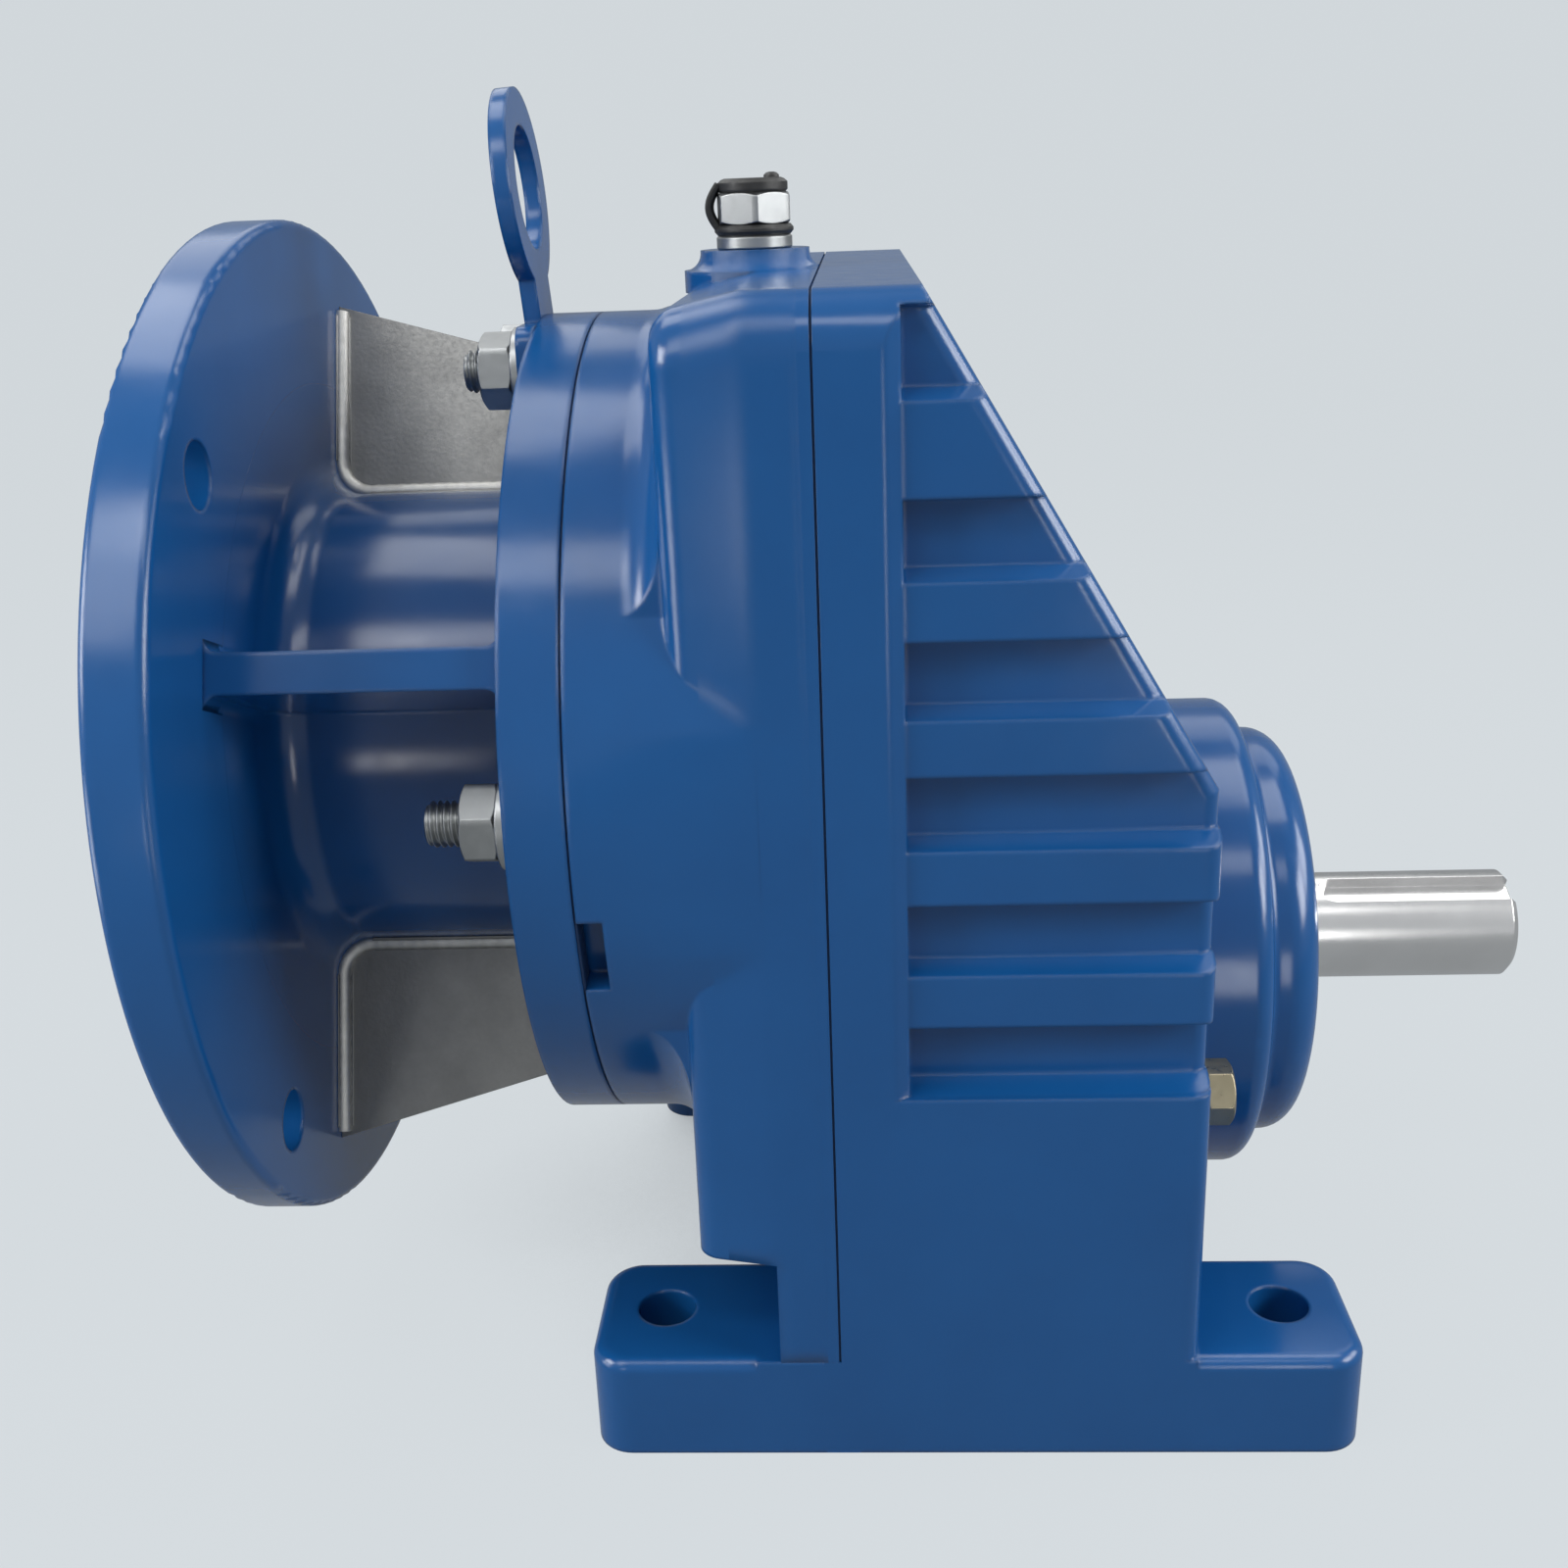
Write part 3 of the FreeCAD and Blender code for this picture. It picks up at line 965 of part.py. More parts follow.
def output_shaft():
    rear_end = OUTPUT_REAR_X + OUTPUT_REAR_WIDTH
    front_end = OUTPUT_FRONT_X + OUTPUT_FRONT_WIDTH
    end_radius = SHAFT_END_DIAMETER / 2
    gear_end = STAGE2_X + STAGE2_WIDTH
    collar_end = gear_end + COLLAR_LENGTH
    tip_x = BOSS_END_X + SHAFT_END_LENGTH
    outline = [(OUTPUT_REAR_X, 0), (OUTPUT_REAR_X, OUTPUT_REAR_BORE), (STAGE2_X, OUTPUT_REAR_BORE),
               (STAGE2_X, GEAR_SEAT_RADIUS), (gear_end, GEAR_SEAT_RADIUS), (gear_end, COLLAR_RADIUS),
               (collar_end, COLLAR_RADIUS), (collar_end, GEAR_SEAT_RADIUS), (OUTPUT_FRONT_X, GEAR_SEAT_RADIUS),
               (OUTPUT_FRONT_X, OUTPUT_FRONT_BORE), (front_end, OUTPUT_FRONT_BORE),
               (front_end, SEAL_JOURNAL_RADIUS),
               (BOSS_END_X, SEAL_JOURNAL_RADIUS), (BOSS_END_X, end_radius),
               (tip_x - SHAFT_CHAMFER, end_radius), (tip_x, end_radius - SHAFT_CHAMFER), (tip_x, 0)]
    shaft = turned_x(outline, OUTPUT_HEIGHT)
    # The seam of the turned blank is put where the keyway is cut away
    shaft.rotate(Vector(0, 0, OUTPUT_HEIGHT), Vector(1, 0, 0), KEYWAY_ANGLE)
    gear_key = key_cutter(STAGE2_X, gear_end, OUTPUT_HEIGHT, GEAR_SEAT_RADIUS, GEAR_HUB_SLOT, GEAR_KEY_DEPTH)
    key_floor = OUTPUT_HEIGHT + end_radius - KEYWAY_DEPTH
    round_x = tip_x - KEYWAY_LENGTH + KEYWAY_WIDTH / 2
    keyway = block(round_x, tip_x + OVERSHOOT, -KEYWAY_WIDTH / 2, KEYWAY_WIDTH / 2, key_floor,
                   OUTPUT_HEIGHT + end_radius + OVERSHOOT)
    keyway = keyway.fuse(rod_z(KEYWAY_WIDTH / 2, key_floor, OUTPUT_HEIGHT + end_radius + OVERSHOOT, round_x))
    keyway.rotate(Vector(0, 0, OUTPUT_HEIGHT), Vector(1, 0, 0), KEYWAY_ANGLE)
    keep("output_shaft", shaft.cut(gear_key).cut(keyway))
    gear = gear_blank(OUTPUT_TEETH, STAGE2_MODULE, STAGE2_WIDTH, STAGE2_X, OUTPUT_HEIGHT, True)
    gear = gear.cut(rod_x(GEAR_SEAT_RADIUS, STAGE2_X, gear_end, OUTPUT_HEIGHT)).cut(gear_key)
    keep("output_gear", gear)
    keep("output_gear_key", gear_key)
    keep("output_spacer", ring_x(GEAR_SEAT_RADIUS, OUTPUT_REAR_BORE, rear_end, STAGE2_X, OUTPUT_HEIGHT))


def main():
    gear_housing()
    input_cover()
    case_gasket()
    adapter_gasket()
    case_screws()
    motor_flange()
    motor_adapter()
    gussets()
    adapter_fasteners()
    lifting_eye()
    breather()
    oil_level_plug()
    bearings()
    circlips()
    seals()
    input_shaft()
    counter_shaft()
    output_shaft()
    os.makedirs("parts", exist_ok=True)
    for name, shape in NODES.items():
        shape.exportStep(os.path.join("parts", name + ".step"))
        print(name, len(shape.Solids), shape.isValid(), round(shape.Volume))


main()
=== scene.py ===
import json
import math

import bpy
from mathutils import Matrix, Vector


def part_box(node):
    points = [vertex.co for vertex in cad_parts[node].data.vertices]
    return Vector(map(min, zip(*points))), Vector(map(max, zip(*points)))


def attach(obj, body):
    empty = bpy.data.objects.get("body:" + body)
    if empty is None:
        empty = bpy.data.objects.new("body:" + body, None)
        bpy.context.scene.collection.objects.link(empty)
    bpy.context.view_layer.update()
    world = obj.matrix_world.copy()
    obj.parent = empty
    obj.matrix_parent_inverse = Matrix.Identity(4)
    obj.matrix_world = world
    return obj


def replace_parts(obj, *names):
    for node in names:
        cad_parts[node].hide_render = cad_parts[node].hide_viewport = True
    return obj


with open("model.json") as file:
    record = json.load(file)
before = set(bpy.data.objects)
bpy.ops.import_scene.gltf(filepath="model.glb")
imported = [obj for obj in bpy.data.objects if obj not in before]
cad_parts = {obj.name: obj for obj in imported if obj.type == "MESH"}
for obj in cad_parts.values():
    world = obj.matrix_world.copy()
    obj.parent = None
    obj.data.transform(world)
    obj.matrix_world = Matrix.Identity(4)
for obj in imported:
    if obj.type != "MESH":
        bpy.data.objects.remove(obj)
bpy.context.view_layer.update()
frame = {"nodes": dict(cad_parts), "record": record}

# Lengths are millimetres in the part's frame and are turned to metres by MM. Angles are degrees.
MM = 0.001
INPUT_HEIGHT = 154.0

# Adapter studs, each with a nut and a washer; angles go round the input line from the near side upwards
STUD_CIRCLE = 90.0
STUD_ANGLES = (2.0, 82.0, 98.0, 178.0, 262.0, 278.0)
EYE_STUD_ANGLES = (82.0, 98.0)
EYE_THICKNESS = 4.0
NUT_TURNS = (-23.6, 21.6, -21.6, 11.0, 0.0, 0.0)
STUD_MAJOR = 5.0
STUD_GRIP = 4.9
STUD_PITCH = 1.5
STUD_CHAMFER = 0.9
NUT_FLATS = 16.0
NUT_HEIGHT = 8.0
WASHER_RADIUS = 10.0
WASHER_THICKNESS = 2.0
WASHER_EDGE = 0.3

# Plugs and their rings
BREATHER_FLATS = 16.5
BREATHER_TURN = 8.0
STEM_RADIUS = 5.0
STEM_HOLE = 5.2
STRAP_THICKNESS = 1.9
STRAP_WIDTH = 6.5
STRAP_BULGE = 2.4
STRAP_SINK = 0.3
STRAP_ROWS = 16
STRAP_SIDES = 16

# Gussets between flange and bell, and their welds
BELL_RADIUS = 58.0
BELL_FILLET = 9.0
GUSSET_ANGLES = (112.5, 292.5)
GUSSET_HALF = 4.0
GUSSET_REACH = 107.2
BEAD_RADIUS = 2.0
BEAD_STAND = 0.8
BEAD_OFFSET = 0.6
BEAD_RIPPLE = 0.03
BEAD_RIPPLE_TURN = 1.9
BEAD_FLANGE_STEPS = 40
BEAD_FILLET_STEPS = 12
BEAD_BELL_STEPS = 55
BEAD_SIDES = 16

# Input cover: what its view changes
SHOULDER_X = -63.0
COVER_FOOT = 54.0
COVER_DROP = 2.2
STEP_LEFT = 0.02
MATCH_GAP = 0.002

# Radius of the painted edges, and where it differs
PAINT_EDGE = 1.4
JOINT_X = -31.0
JOINT_REACH = 4.0
JOINT_EDGE = 0.2
SEAM_RADIUS = 86.0
SEAM_REACH = 2.5
CREASE_X = -45.0
CREASE_REACH = 11.0
CREASE_EDGE = 6.0

# Shapes shared by all pieces
ROUND_STEPS = 48
ROD_STEPS = 32
KNOB_STEPS = 24
HEX_STEPS = 72
HEX_ROUNDING = 0.97
HEX_CHAMFER = 30.0
HEX_LIP = 0.6
THREAD_DEPTH = 0.61
THREAD_CREST = 0.12
THREAD_FLANK = 0.72
THREAD_ROWS = 8
SHARP_EDGE = 35.0

# Part of a noise's range that is spread over the two tones or values
NOISE_LOW = 0.3
NOISE_HIGH = 0.7


# Node helpers

def new_material(name):
    material = bpy.data.materials.new(name)
    material.use_nodes = True
    tree = material.node_tree
    return material, tree, tree.nodes["Principled BSDF"]


def add(tree, kind, **settings):
    node = tree.nodes.new(kind)
    for key, value in settings.items():
        setattr(node, key, value)
    return node


def coordinates(tree, stretch=(1.0, 1.0, 1.0)):
    place = add(tree, "ShaderNodeTexCoord")
    mapping = add(tree, "ShaderNodeMapping")
    mapping.inputs["Scale"].default_value = stretch
    tree.links.new(place.outputs["Object"], mapping.inputs["Vector"])
    return mapping.outputs["Vector"]


def noise(tree, vector, scale, detail=3.0):
    node = add(tree, "ShaderNodeTexNoise")
    node.inputs["Scale"].default_value = scale
    node.inputs["Detail"].default_value = detail
    node.inputs["Roughness"].default_value = 0.55
    tree.links.new(vector, node.inputs["Vector"])
    return node.outputs["Fac"]


def spread(tree, value, low, high):
    node = add(tree, "ShaderNodeMapRange")
    node.inputs["From Min"].default_value = NOISE_LOW
    node.inputs["From Max"].default_value = NOISE_HIGH
    node.inputs["To Min"].default_value = low
    node.inputs["To Max"].default_value = high
    tree.links.new(value, node.inputs["Value"])
    return node.outputs["Result"]


def two_tone(tree, value, dark, light):
    node = add(tree, "ShaderNodeValToRGB")
    node.color_ramp.elements[0].position = NOISE_LOW
    node.color_ramp.elements[0].color = (*dark, 1.0)
    node.color_ramp.elements[1].position = NOISE_HIGH
    node.color_ramp.elements[1].color = (*light, 1.0)
    tree.links.new(value, node.inputs["Fac"])
    return node.outputs["Color"]


def bump(tree, shader, height, strength, depth, edge_radius):
    """Bump over softened edges; the edges' radius is a number or a socket."""
    node = add(tree, "ShaderNodeBump")
    node.inputs["Strength"].default_value = strength
    node.inputs["Distance"].default_value = depth
    tree.links.new(height, node.inputs["Height"])
    soft_edge = add(tree, "ShaderNodeBevel", samples=6)
    if isinstance(edge_radius, float):
        soft_edge.inputs["Radius"].default_value = edge_radius
    else:
        tree.links.new(edge_radius, soft_edge.inputs["Radius"])
    tree.links.new(soft_edge.outputs["Normal"], node.inputs["Normal"])
    tree.links.new(node.outputs["Normal"], shader.inputs["Normal"])


# Materials

def close_to(tree, value, wanted, reach, amount):
    """Amount where value lies within reach of the wanted one, and 0 elsewhere, all in millimetres."""
    close = add(tree, "ShaderNodeMath", operation="COMPARE")
    close.inputs[1].default_value = wanted * MM
    close.inputs[2].default_value = reach * MM
    tree.links.new(value, close.inputs[0])
    scaled = add(tree, "ShaderNodeMath", operation="MULTIPLY")
    scaled.inputs[1].default_value = amount * MM
    tree.links.new(close.outputs["Value"], scaled.inputs[0])
    return scaled.outputs["Value"]


def near_x(tree, place, x, reach, amount):
    split = add(tree, "ShaderNodeSeparateXYZ")
    tree.links.new(place, split.inputs["Vector"])
    return close_to(tree, split.outputs["X"], x, reach, amount)


def near_radius(tree, place, radius, reach, amount):
    """As near_x, for a distance from the input line."""
    shift = add(tree, "ShaderNodeVectorMath", operation="MULTIPLY_ADD")
    shift.inputs[1].default_value = (0.0, 1.0, 1.0)
    shift.inputs[2].default_value = (0.0, 0.0, -INPUT_HEIGHT * MM)
    tree.links.new(place, shift.inputs[0])
    length = add(tree, "ShaderNodeVectorMath", operation="LENGTH")
    tree.links.new(shift.outputs["Vector"], length.inputs[0])
    return close_to(tree, length.outputs["Value"], radius, reach, amount)


def paint_edges(tree, place, with_crease):
    """Radius of the painted edges: crisp at the joint of the case, wide along the cover's crease."""
    joint = near_x(tree, place, JOINT_X, JOINT_REACH, JOINT_EDGE - PAINT_EDGE)
    seam = near_radius(tree, place, SEAM_RADIUS, SEAM_REACH, JOINT_EDGE - PAINT_EDGE)
    crisp = add(tree, "ShaderNodeMath", operation="MINIMUM")
    tree.links.new(joint, crisp.inputs[0])
    tree.links.new(seam, crisp.inputs[1])
    radius = add(tree, "ShaderNodeMath", operation="ADD")
    radius.inputs[1].default_value = PAINT_EDGE * MM
    tree.links.new(crisp.outputs["Value"], radius.inputs[0])
    if not with_crease:
        return radius.outputs["Value"]
    wide = add(tree, "ShaderNodeMath", operation="ADD")
    tree.links.new(radius.outputs["Value"], wide.inputs[0])
    tree.links.new(near_x(tree, place, CREASE_X, CREASE_REACH, CREASE_EDGE - PAINT_EDGE), wide.inputs[1])
    return wide.outputs["Value"]


def gloss_paint(name, with_crease=False):
    """Blue enamel sprayed on cast iron: faint orange peel, slight pooling and a soft gloss."""
    material, tree, shader = new_material(name)
    place = coordinates(tree)
    cloud = noise(tree, place, 22.0, 4.0)
    tone = two_tone(tree, cloud, (0.0062, 0.078, 0.255), (0.0073, 0.088, 0.282))
    tree.links.new(tone, shader.inputs["Base Color"])
    tree.links.new(spread(tree, noise(tree, place, 140.0), 0.16, 0.21), shader.inputs["Roughness"])
    bump(tree, shader, noise(tree, place, 380.0, 2.0), 0.02, 0.0005, paint_edges(tree, place, with_crease))
    shader.inputs["IOR"].default_value = 1.5
    return material


def metal(name, dark, light, rough, grain=(1.0, 1.0, 1.0), grain_scale=600.0, grain_strength=0.12, blotch=60.0):
    """Metal with blotchy tone and a grain that can be stretched into machining lines."""
    material, tree, shader = new_material(name)
    place = coordinates(tree)
    lines = noise(tree, coordinates(tree, grain), grain_scale, 3.0)
    shader.inputs["Metallic"].default_value = 1.0
    tree.links.new(two_tone(tree, noise(tree, place, blotch, 5.0), dark, light), shader.inputs["Base Color"])
    tree.links.new(spread(tree, lines, rough[0], rough[1]), shader.inputs["Roughness"])
    bump(tree, shader, lines, grain_strength, 0.0003, 0.0004)
    return material


def soft_black(name, dark, light, rough):
    """Rubber or moulded plastic with a fine matt grain."""
    material, tree, shader = new_material(name)
    place = coordinates(tree)
    tree.links.new(two_tone(tree, noise(tree, place, 300.0), dark, light), shader.inputs["Base Color"])
    tree.links.new(spread(tree, noise(tree, place, 700.0), rough[0], rough[1]), shader.inputs["Roughness"])
    bump(tree, shader, noise(tree, place, 1600.0), 0.15, 0.0002, 0.0004)
    return material


EVEN = (1, 1, 1)
TURNED = (60, 1, 1)
finishes = {
    "blue_paint": gloss_paint("blue_gloss_paint"),
    "bare_steel": metal("bare_plate_steel", (0.178, 0.178, 0.174), (0.247, 0.247, 0.239), (0.36, 0.48),
                        EVEN, 900.0, 0.14),
    "zinc_steel": metal("zinc_plated_steel", (0.32, 0.33, 0.332), (0.41, 0.42, 0.42), (0.32, 0.44),
                        EVEN, 500.0, 0.05),
    "machined_steel": metal("turned_steel", (0.76, 0.75, 0.74), (0.82, 0.81, 0.80), (0.20, 0.26),
                            TURNED, 80.0, 0.02),
    "gear_steel": metal("ground_gear_steel", (0.34, 0.34, 0.35), (0.46, 0.46, 0.47), (0.24, 0.40),
                        TURNED, 50.0, 0.10),
    "bearing_steel": metal("polished_bearing_steel", (0.60, 0.60, 0.61), (0.70, 0.70, 0.71), (0.10, 0.20),
                           TURNED, 60.0, 0.04),
    "spring_steel": metal("dark_spring_steel", (0.10, 0.10, 0.11), (0.17, 0.17, 0.18), (0.30, 0.45)),
    "washer_metal": metal("soft_copper_washer", (0.42, 0.24, 0.15), (0.55, 0.33, 0.21), (0.30, 0.45)),
    "brass": metal("machined_brass", (0.36, 0.31, 0.205), (0.45, 0.40, 0.28), (0.26, 0.38), EVEN, 500.0, 0.06),
    "black_rubber": soft_black("black_rubber", (0.008, 0.008, 0.008), (0.020, 0.020, 0.019), (0.38, 0.55)),
    "gasket": soft_black("blue_gasket", (0.006, 0.030, 0.095), (0.008, 0.038, 0.115), (0.55, 0.7)),
}
cover_paint = gloss_paint("blue_gloss_paint_on_cover", True)
# Weld metal paler than the plates: partly the weld's own bright metal, partly a painted highlight along the gusset
# edges.
pale_weld_and_painted_highlight = metal("pale_weld_and_painted_highlight", (0.54, 0.53, 0.50), (0.66, 0.65, 0.62), (0.50, 0.62), EVEN, 700.0, 0.06, 240.0)

for part in frame["record"]["subparts"]:
    cad_object = frame["nodes"][part["node"]]
    cad_object.data.materials.clear()
    cad_object.data.materials.append(finishes[part["material_slot"]])
frame["nodes"]["input_cover"].data.materials[0] = cover_paint


# Mesh helpers

def mesh_piece(name, vertices, faces, slot):
    """Piece of the scene that rides the housing and wears the slot's finish."""
    mesh = bpy.data.meshes.new(name)
    mesh.from_pydata(vertices, [], faces)
    mesh.validate()
    mesh.shade_smooth()
    mesh.set_sharp_from_angle(angle=math.radians(SHARP_EDGE))
    mesh.materials.append(finishes[slot])
    piece = bpy.data.objects.new(name, mesh)
    bpy.context.collection.objects.link(piece)
    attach(piece, "housing")
    return piece


def joined(rings_list):
    """One vertex and face list out of several lofts, each given as (rings, closed)."""
    vertices, faces = [], []
    for rings, closed in rings_list:
        start = len(vertices)
        count = len(rings[0])
        for ring in rings:
            vertices.extend(ring)
        rows = len(rings) if closed else len(rings) - 1
        for row in range(rows):
            here = start + row * count
            there = start + ((row + 1) % len(rings)) * count
            for step in range(count):
                after = (step + 1) % count
                faces.append((here + step, here + after, there + after, there + step))
        if not closed:
            faces.append(tuple(range(start + count - 1, start - 1, -1)))
            last = start + (len(rings) - 1) * count
            faces.append(tuple(range(last, last + count)))
    return vertices, faces


def axes_for(axis):
    """The axis itself and the two directions across it."""
    if axis == "x":
        return Vector((1, 0, 0)), Vector((0, 1, 0)), Vector((0, 0, 1))
    return Vector((0, 0, 1)), Vector((1, 0, 0)), Vector((0, 1, 0))


def circle(centre, axis, along, radius, steps=ROUND_STEPS):
    """Points of a circle in millimetres; radius may be a function of the turn."""
    ahead, side, top = axes_for(axis)
    points = []
    for step in range(steps):
        turn = 2 * math.pi * step / steps
        reach = radius(turn) if callable(radius) else radius
        outward = side * math.cos(turn) + top * math.sin(turn)
        points.append((Vector(centre) + ahead * along + outward * reach) * MM)
    return points


def turned(centre, axis, profile, steps=ROUND_STEPS):
    """Rings of a turned piece from a profile of (along, radius)."""
    return [circle(centre, axis, along, radius, steps) for along, radius in profile]


def hex_reach(flats, turn, first_corner):
    """Distance from the middle of a hexagon to its side in the direction of turn."""
    sixth = math.pi / 3
    offset = (turn - first_corner) % sixth - sixth / 2
    return flats / 2 / math.cos(offset)


def hex_rings(centre, axis, along, height, flats, hole, first_corner=0.0):
    """Rings of a nut or bolt head whose corners are turned off at both ends."""
    rounded = flats / 2 * HEX_ROUNDING
    slope = math.tan(math.radians(HEX_CHAMFER))
    end = along + height
    ahead, across, top = axes_for(axis)

    def plain(base, radius):
        return circle(centre, axis, base, radius, HEX_STEPS)

    def cornered(base, direction):
        points = []
        for step in range(HEX_STEPS):
            turn = 2 * math.pi * step / HEX_STEPS
            reach = hex_reach(flats, turn, first_corner)
            drop = max(reach - rounded, 0.0) * slope
            spot = Vector(centre) + ahead * (base + direction * drop)
            points.append((spot + (across * math.cos(turn) + top * math.sin(turn)) * reach) * MM)
        return points

    rings = [plain(along, rounded), cornered(along, 1.0), cornered(end, -1.0), plain(end, rounded)]
    if hole:
        lip = min(HEX_LIP, height / 6)
        rings = [plain(along + lip, hole), plain(along, hole + lip)] + rings
        rings += [plain(end, hole + lip), plain(end - lip, hole)]
    return rings


def threaded_rings(centre, start, end, major, pitch, chamfer):
    """Rings of a threaded rod along X with a real helix and a chamfered start."""
    depth = THREAD_DEPTH * pitch
    rows = int((end - start) / pitch * THREAD_ROWS)
    rings = []
    for row in range(rows + 1):
        along = (end - start) * row / rows
        top = min(major, major - chamfer + along)

        def reach(turn, along=along, top=top):
            phase = (along / pitch - turn / (2 * math.pi)) % 1.0
            rise = abs(2 * phase - 1)
            cut = depth * min(max((rise - THREAD_CREST) / THREAD_FLANK, 0.0), 1.0)
            return min(top, major - cut)

        rings.append(circle(centre, "x", start + along, reach, ROD_STEPS))
    return rings


def around_input(angle, radius):
    """Y and Z in millimetres of a point round the input line, at an elevation from the near horizontal."""
    turn = math.radians(angle)
    return -radius * math.cos(turn), INPUT_HEIGHT + radius * math.sin(turn)


# Input cover whose ring runs flush into the flanks of the case and whose lower edge hides the gap over the feet

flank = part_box("gear_housing")[1].y
match_gap = MATCH_GAP * MM
cover_mesh = frame["nodes"]["input_cover"].data.copy()
for vertex in cover_mesh.vertices:
    step = abs(vertex.co.y) - flank
    if abs(vertex.co.x - CREASE_X * MM) < match_gap and step > 0.0:
        vertex.co.y = math.copysign(flank + step * STEP_LEFT, vertex.co.y)
    if abs(vertex.co.z - COVER_FOOT * MM) < match_gap and SHOULDER_X * MM - match_gap < vertex.co.x:
        vertex.co.z -= COVER_DROP * MM
flush_cover = bpy.data.objects.new("flush_cover", cover_mesh)
bpy.context.collection.objects.link(flush_cover)
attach(flush_cover, "housing")
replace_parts(flush_cover, "input_cover")


# Threaded studs, turned nuts and washers on the adapter

stud_low, stud_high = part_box("adapter_studs")
disc_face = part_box("adapter_washers")[1].x / MM
stud_lofts, nut_lofts, washer_lofts = [], [], []
for angle, nut_turn in zip(STUD_ANGLES, NUT_TURNS):
    place = (0.0, *around_input(angle, STUD_CIRCLE))
    lift = EYE_THICKNESS if angle in EYE_STUD_ANGLES else 0.0
    seat = disc_face - lift
    nut_back = seat - WASHER_THICKNESS
    nut_front = nut_back - NUT_HEIGHT
    thread = threaded_rings(place, stud_low.x / MM, nut_back, STUD_MAJOR, STUD_PITCH, STUD_CHAMFER)
    grip = turned(place, "x", [(nut_back, STUD_GRIP), (stud_high.x / MM, STUD_GRIP)], ROD_STEPS)
    stud_lofts += [(thread, False), (grip, False)]
    nut = hex_rings(place, "x", nut_front, NUT_HEIGHT, NUT_FLATS, STUD_MAJOR, math.radians(nut_turn))
    nut_lofts.append((nut, True))
    washer_profile = [(nut_back, STEM_HOLE), (nut_back, WASHER_RADIUS - WASHER_EDGE),
                      (nut_back + WASHER_EDGE, WASHER_RADIUS), (seat, WASHER_RADIUS), (seat, STEM_HOLE)]
    washer_lofts.append((turned(place, "x", washer_profile), True))
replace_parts(mesh_piece("threaded_studs", *joined(stud_lofts), "zinc_steel"), "adapter_studs")
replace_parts(mesh_piece("turned_nuts", *joined(nut_lofts), "zinc_steel"), "adapter_nuts")
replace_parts(mesh_piece("flat_washers", *joined(washer_lofts), "zinc_steel"), "adapter_washers")


# Breather: collar, seal ring, chamfered head, cap with a knob and the strap that keeps the cap

plug_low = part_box("breather_plug")[0]
seal_low, seal_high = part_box("breather_seal")
cap_low, cap_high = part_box("breather_cap")
breather = ((cap_low.x + cap_high.x) / 2 / MM, 0.0, 0.0)
hex_base = seal_high.z / MM
hex_top = cap_low.z / MM
collar_top = seal_low.z / MM
seal_radius = (seal_high.x - seal_low.x) / 2 / MM
cap_radius = (cap_high.x - cap_low.x) / 2 / MM
cap_top = cap_high.z / MM
pad_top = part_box("input_cover")[1].z / MM
corner_turn = math.radians(BREATHER_TURN - 90.0)
collar_radius = seal_radius - 0.4
collar_profile = [(plug_low.z / MM, STEM_RADIUS), (pad_top, STEM_RADIUS), (pad_top, collar_radius - 0.4),
                  (pad_top + 0.4, collar_radius), (collar_top - 0.5, collar_radius),
                  (collar_top, collar_radius - 0.5), (collar_top, STEM_RADIUS), (hex_base, STEM_RADIUS)]
collar = turned(breather, "z", collar_profile)
head = hex_rings(breather, "z", hex_base, hex_top - hex_base, BREATHER_FLATS, 0.0, corner_turn)
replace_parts(mesh_piece("breather_body", *joined([(collar, False), (head, False)]), "zinc_steel"), "breather_plug")

seal_height = hex_base - collar_top
seal_profile = [(collar_top, STEM_HOLE), (collar_top, seal_radius - 0.7),
                (collar_top + 0.35 * seal_height, seal_radius), (collar_top + 0.65 * seal_height, seal_radius),
                (hex_base, seal_radius - 0.7), (hex_base, STEM_HOLE)]
seal = turned(breather, "z", seal_profile)
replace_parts(mesh_piece("breather_ring", *joined([(seal, True)]), "black_rubber"), "breather_seal")

cap_profile = [(hex_top, cap_radius - 0.5), (hex_top + 0.5, cap_radius), (cap_top - 1.0, cap_radius),
               (cap_top - 0.3, cap_radius - 0.8), (cap_top, cap_radius - 1.6)]
knob_place = (breather[0] + 4.6, -1.6, 0.0)
knob_profile = [(cap_top - 0.6, 1.9), (cap_top + 0.5, 1.8), (cap_top + 1.0, 1.3), (cap_top + 1.2, 0.6)]
lid = turned(breather, "z", cap_profile)
knob = turned(knob_place, "z", knob_profile, KNOB_STEPS)
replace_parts(mesh_piece("breather_lid", *joined([(lid, False), (knob, False)]), "black_rubber"), "breather_cap")


def soft_square(value):
    """Sine or cosine of a round section, swollen towards that of a square."""
    return math.copysign(abs(value) ** 0.5, value)


def strap_rings(top_height, low_height):
    """Rubber band that leaves the cap, bows outwards beside the head and joins the ring."""
    rings = []
    for row in range(STRAP_ROWS + 1):
        share = row / STRAP_ROWS
        out = breather[0] - cap_radius + STRAP_SINK - STRAP_BULGE * math.sin(math.pi * share)
        height = top_height + (low_height - top_height) * share
        lean = math.atan2(-STRAP_BULGE * math.pi * math.cos(math.pi * share), top_height - low_height)
        ring = []
        for step in range(STRAP_SIDES):
            turn = 2 * math.pi * step / STRAP_SIDES
            across = soft_square(math.cos(turn)) * STRAP_WIDTH / 2
            depth = soft_square(math.sin(turn)) * STRAP_THICKNESS / 2
            ring.append(Vector((out + depth * math.cos(lean), across, height + depth * math.sin(lean))) * MM)
        rings.append(ring)
    return rings


strap = strap_rings(cap_top - 1.3, collar_top + seal_height / 2)
mesh_piece("breather_strap", *joined([(strap, False)]), "black_rubber")


# Oil level plug with a chamfered head

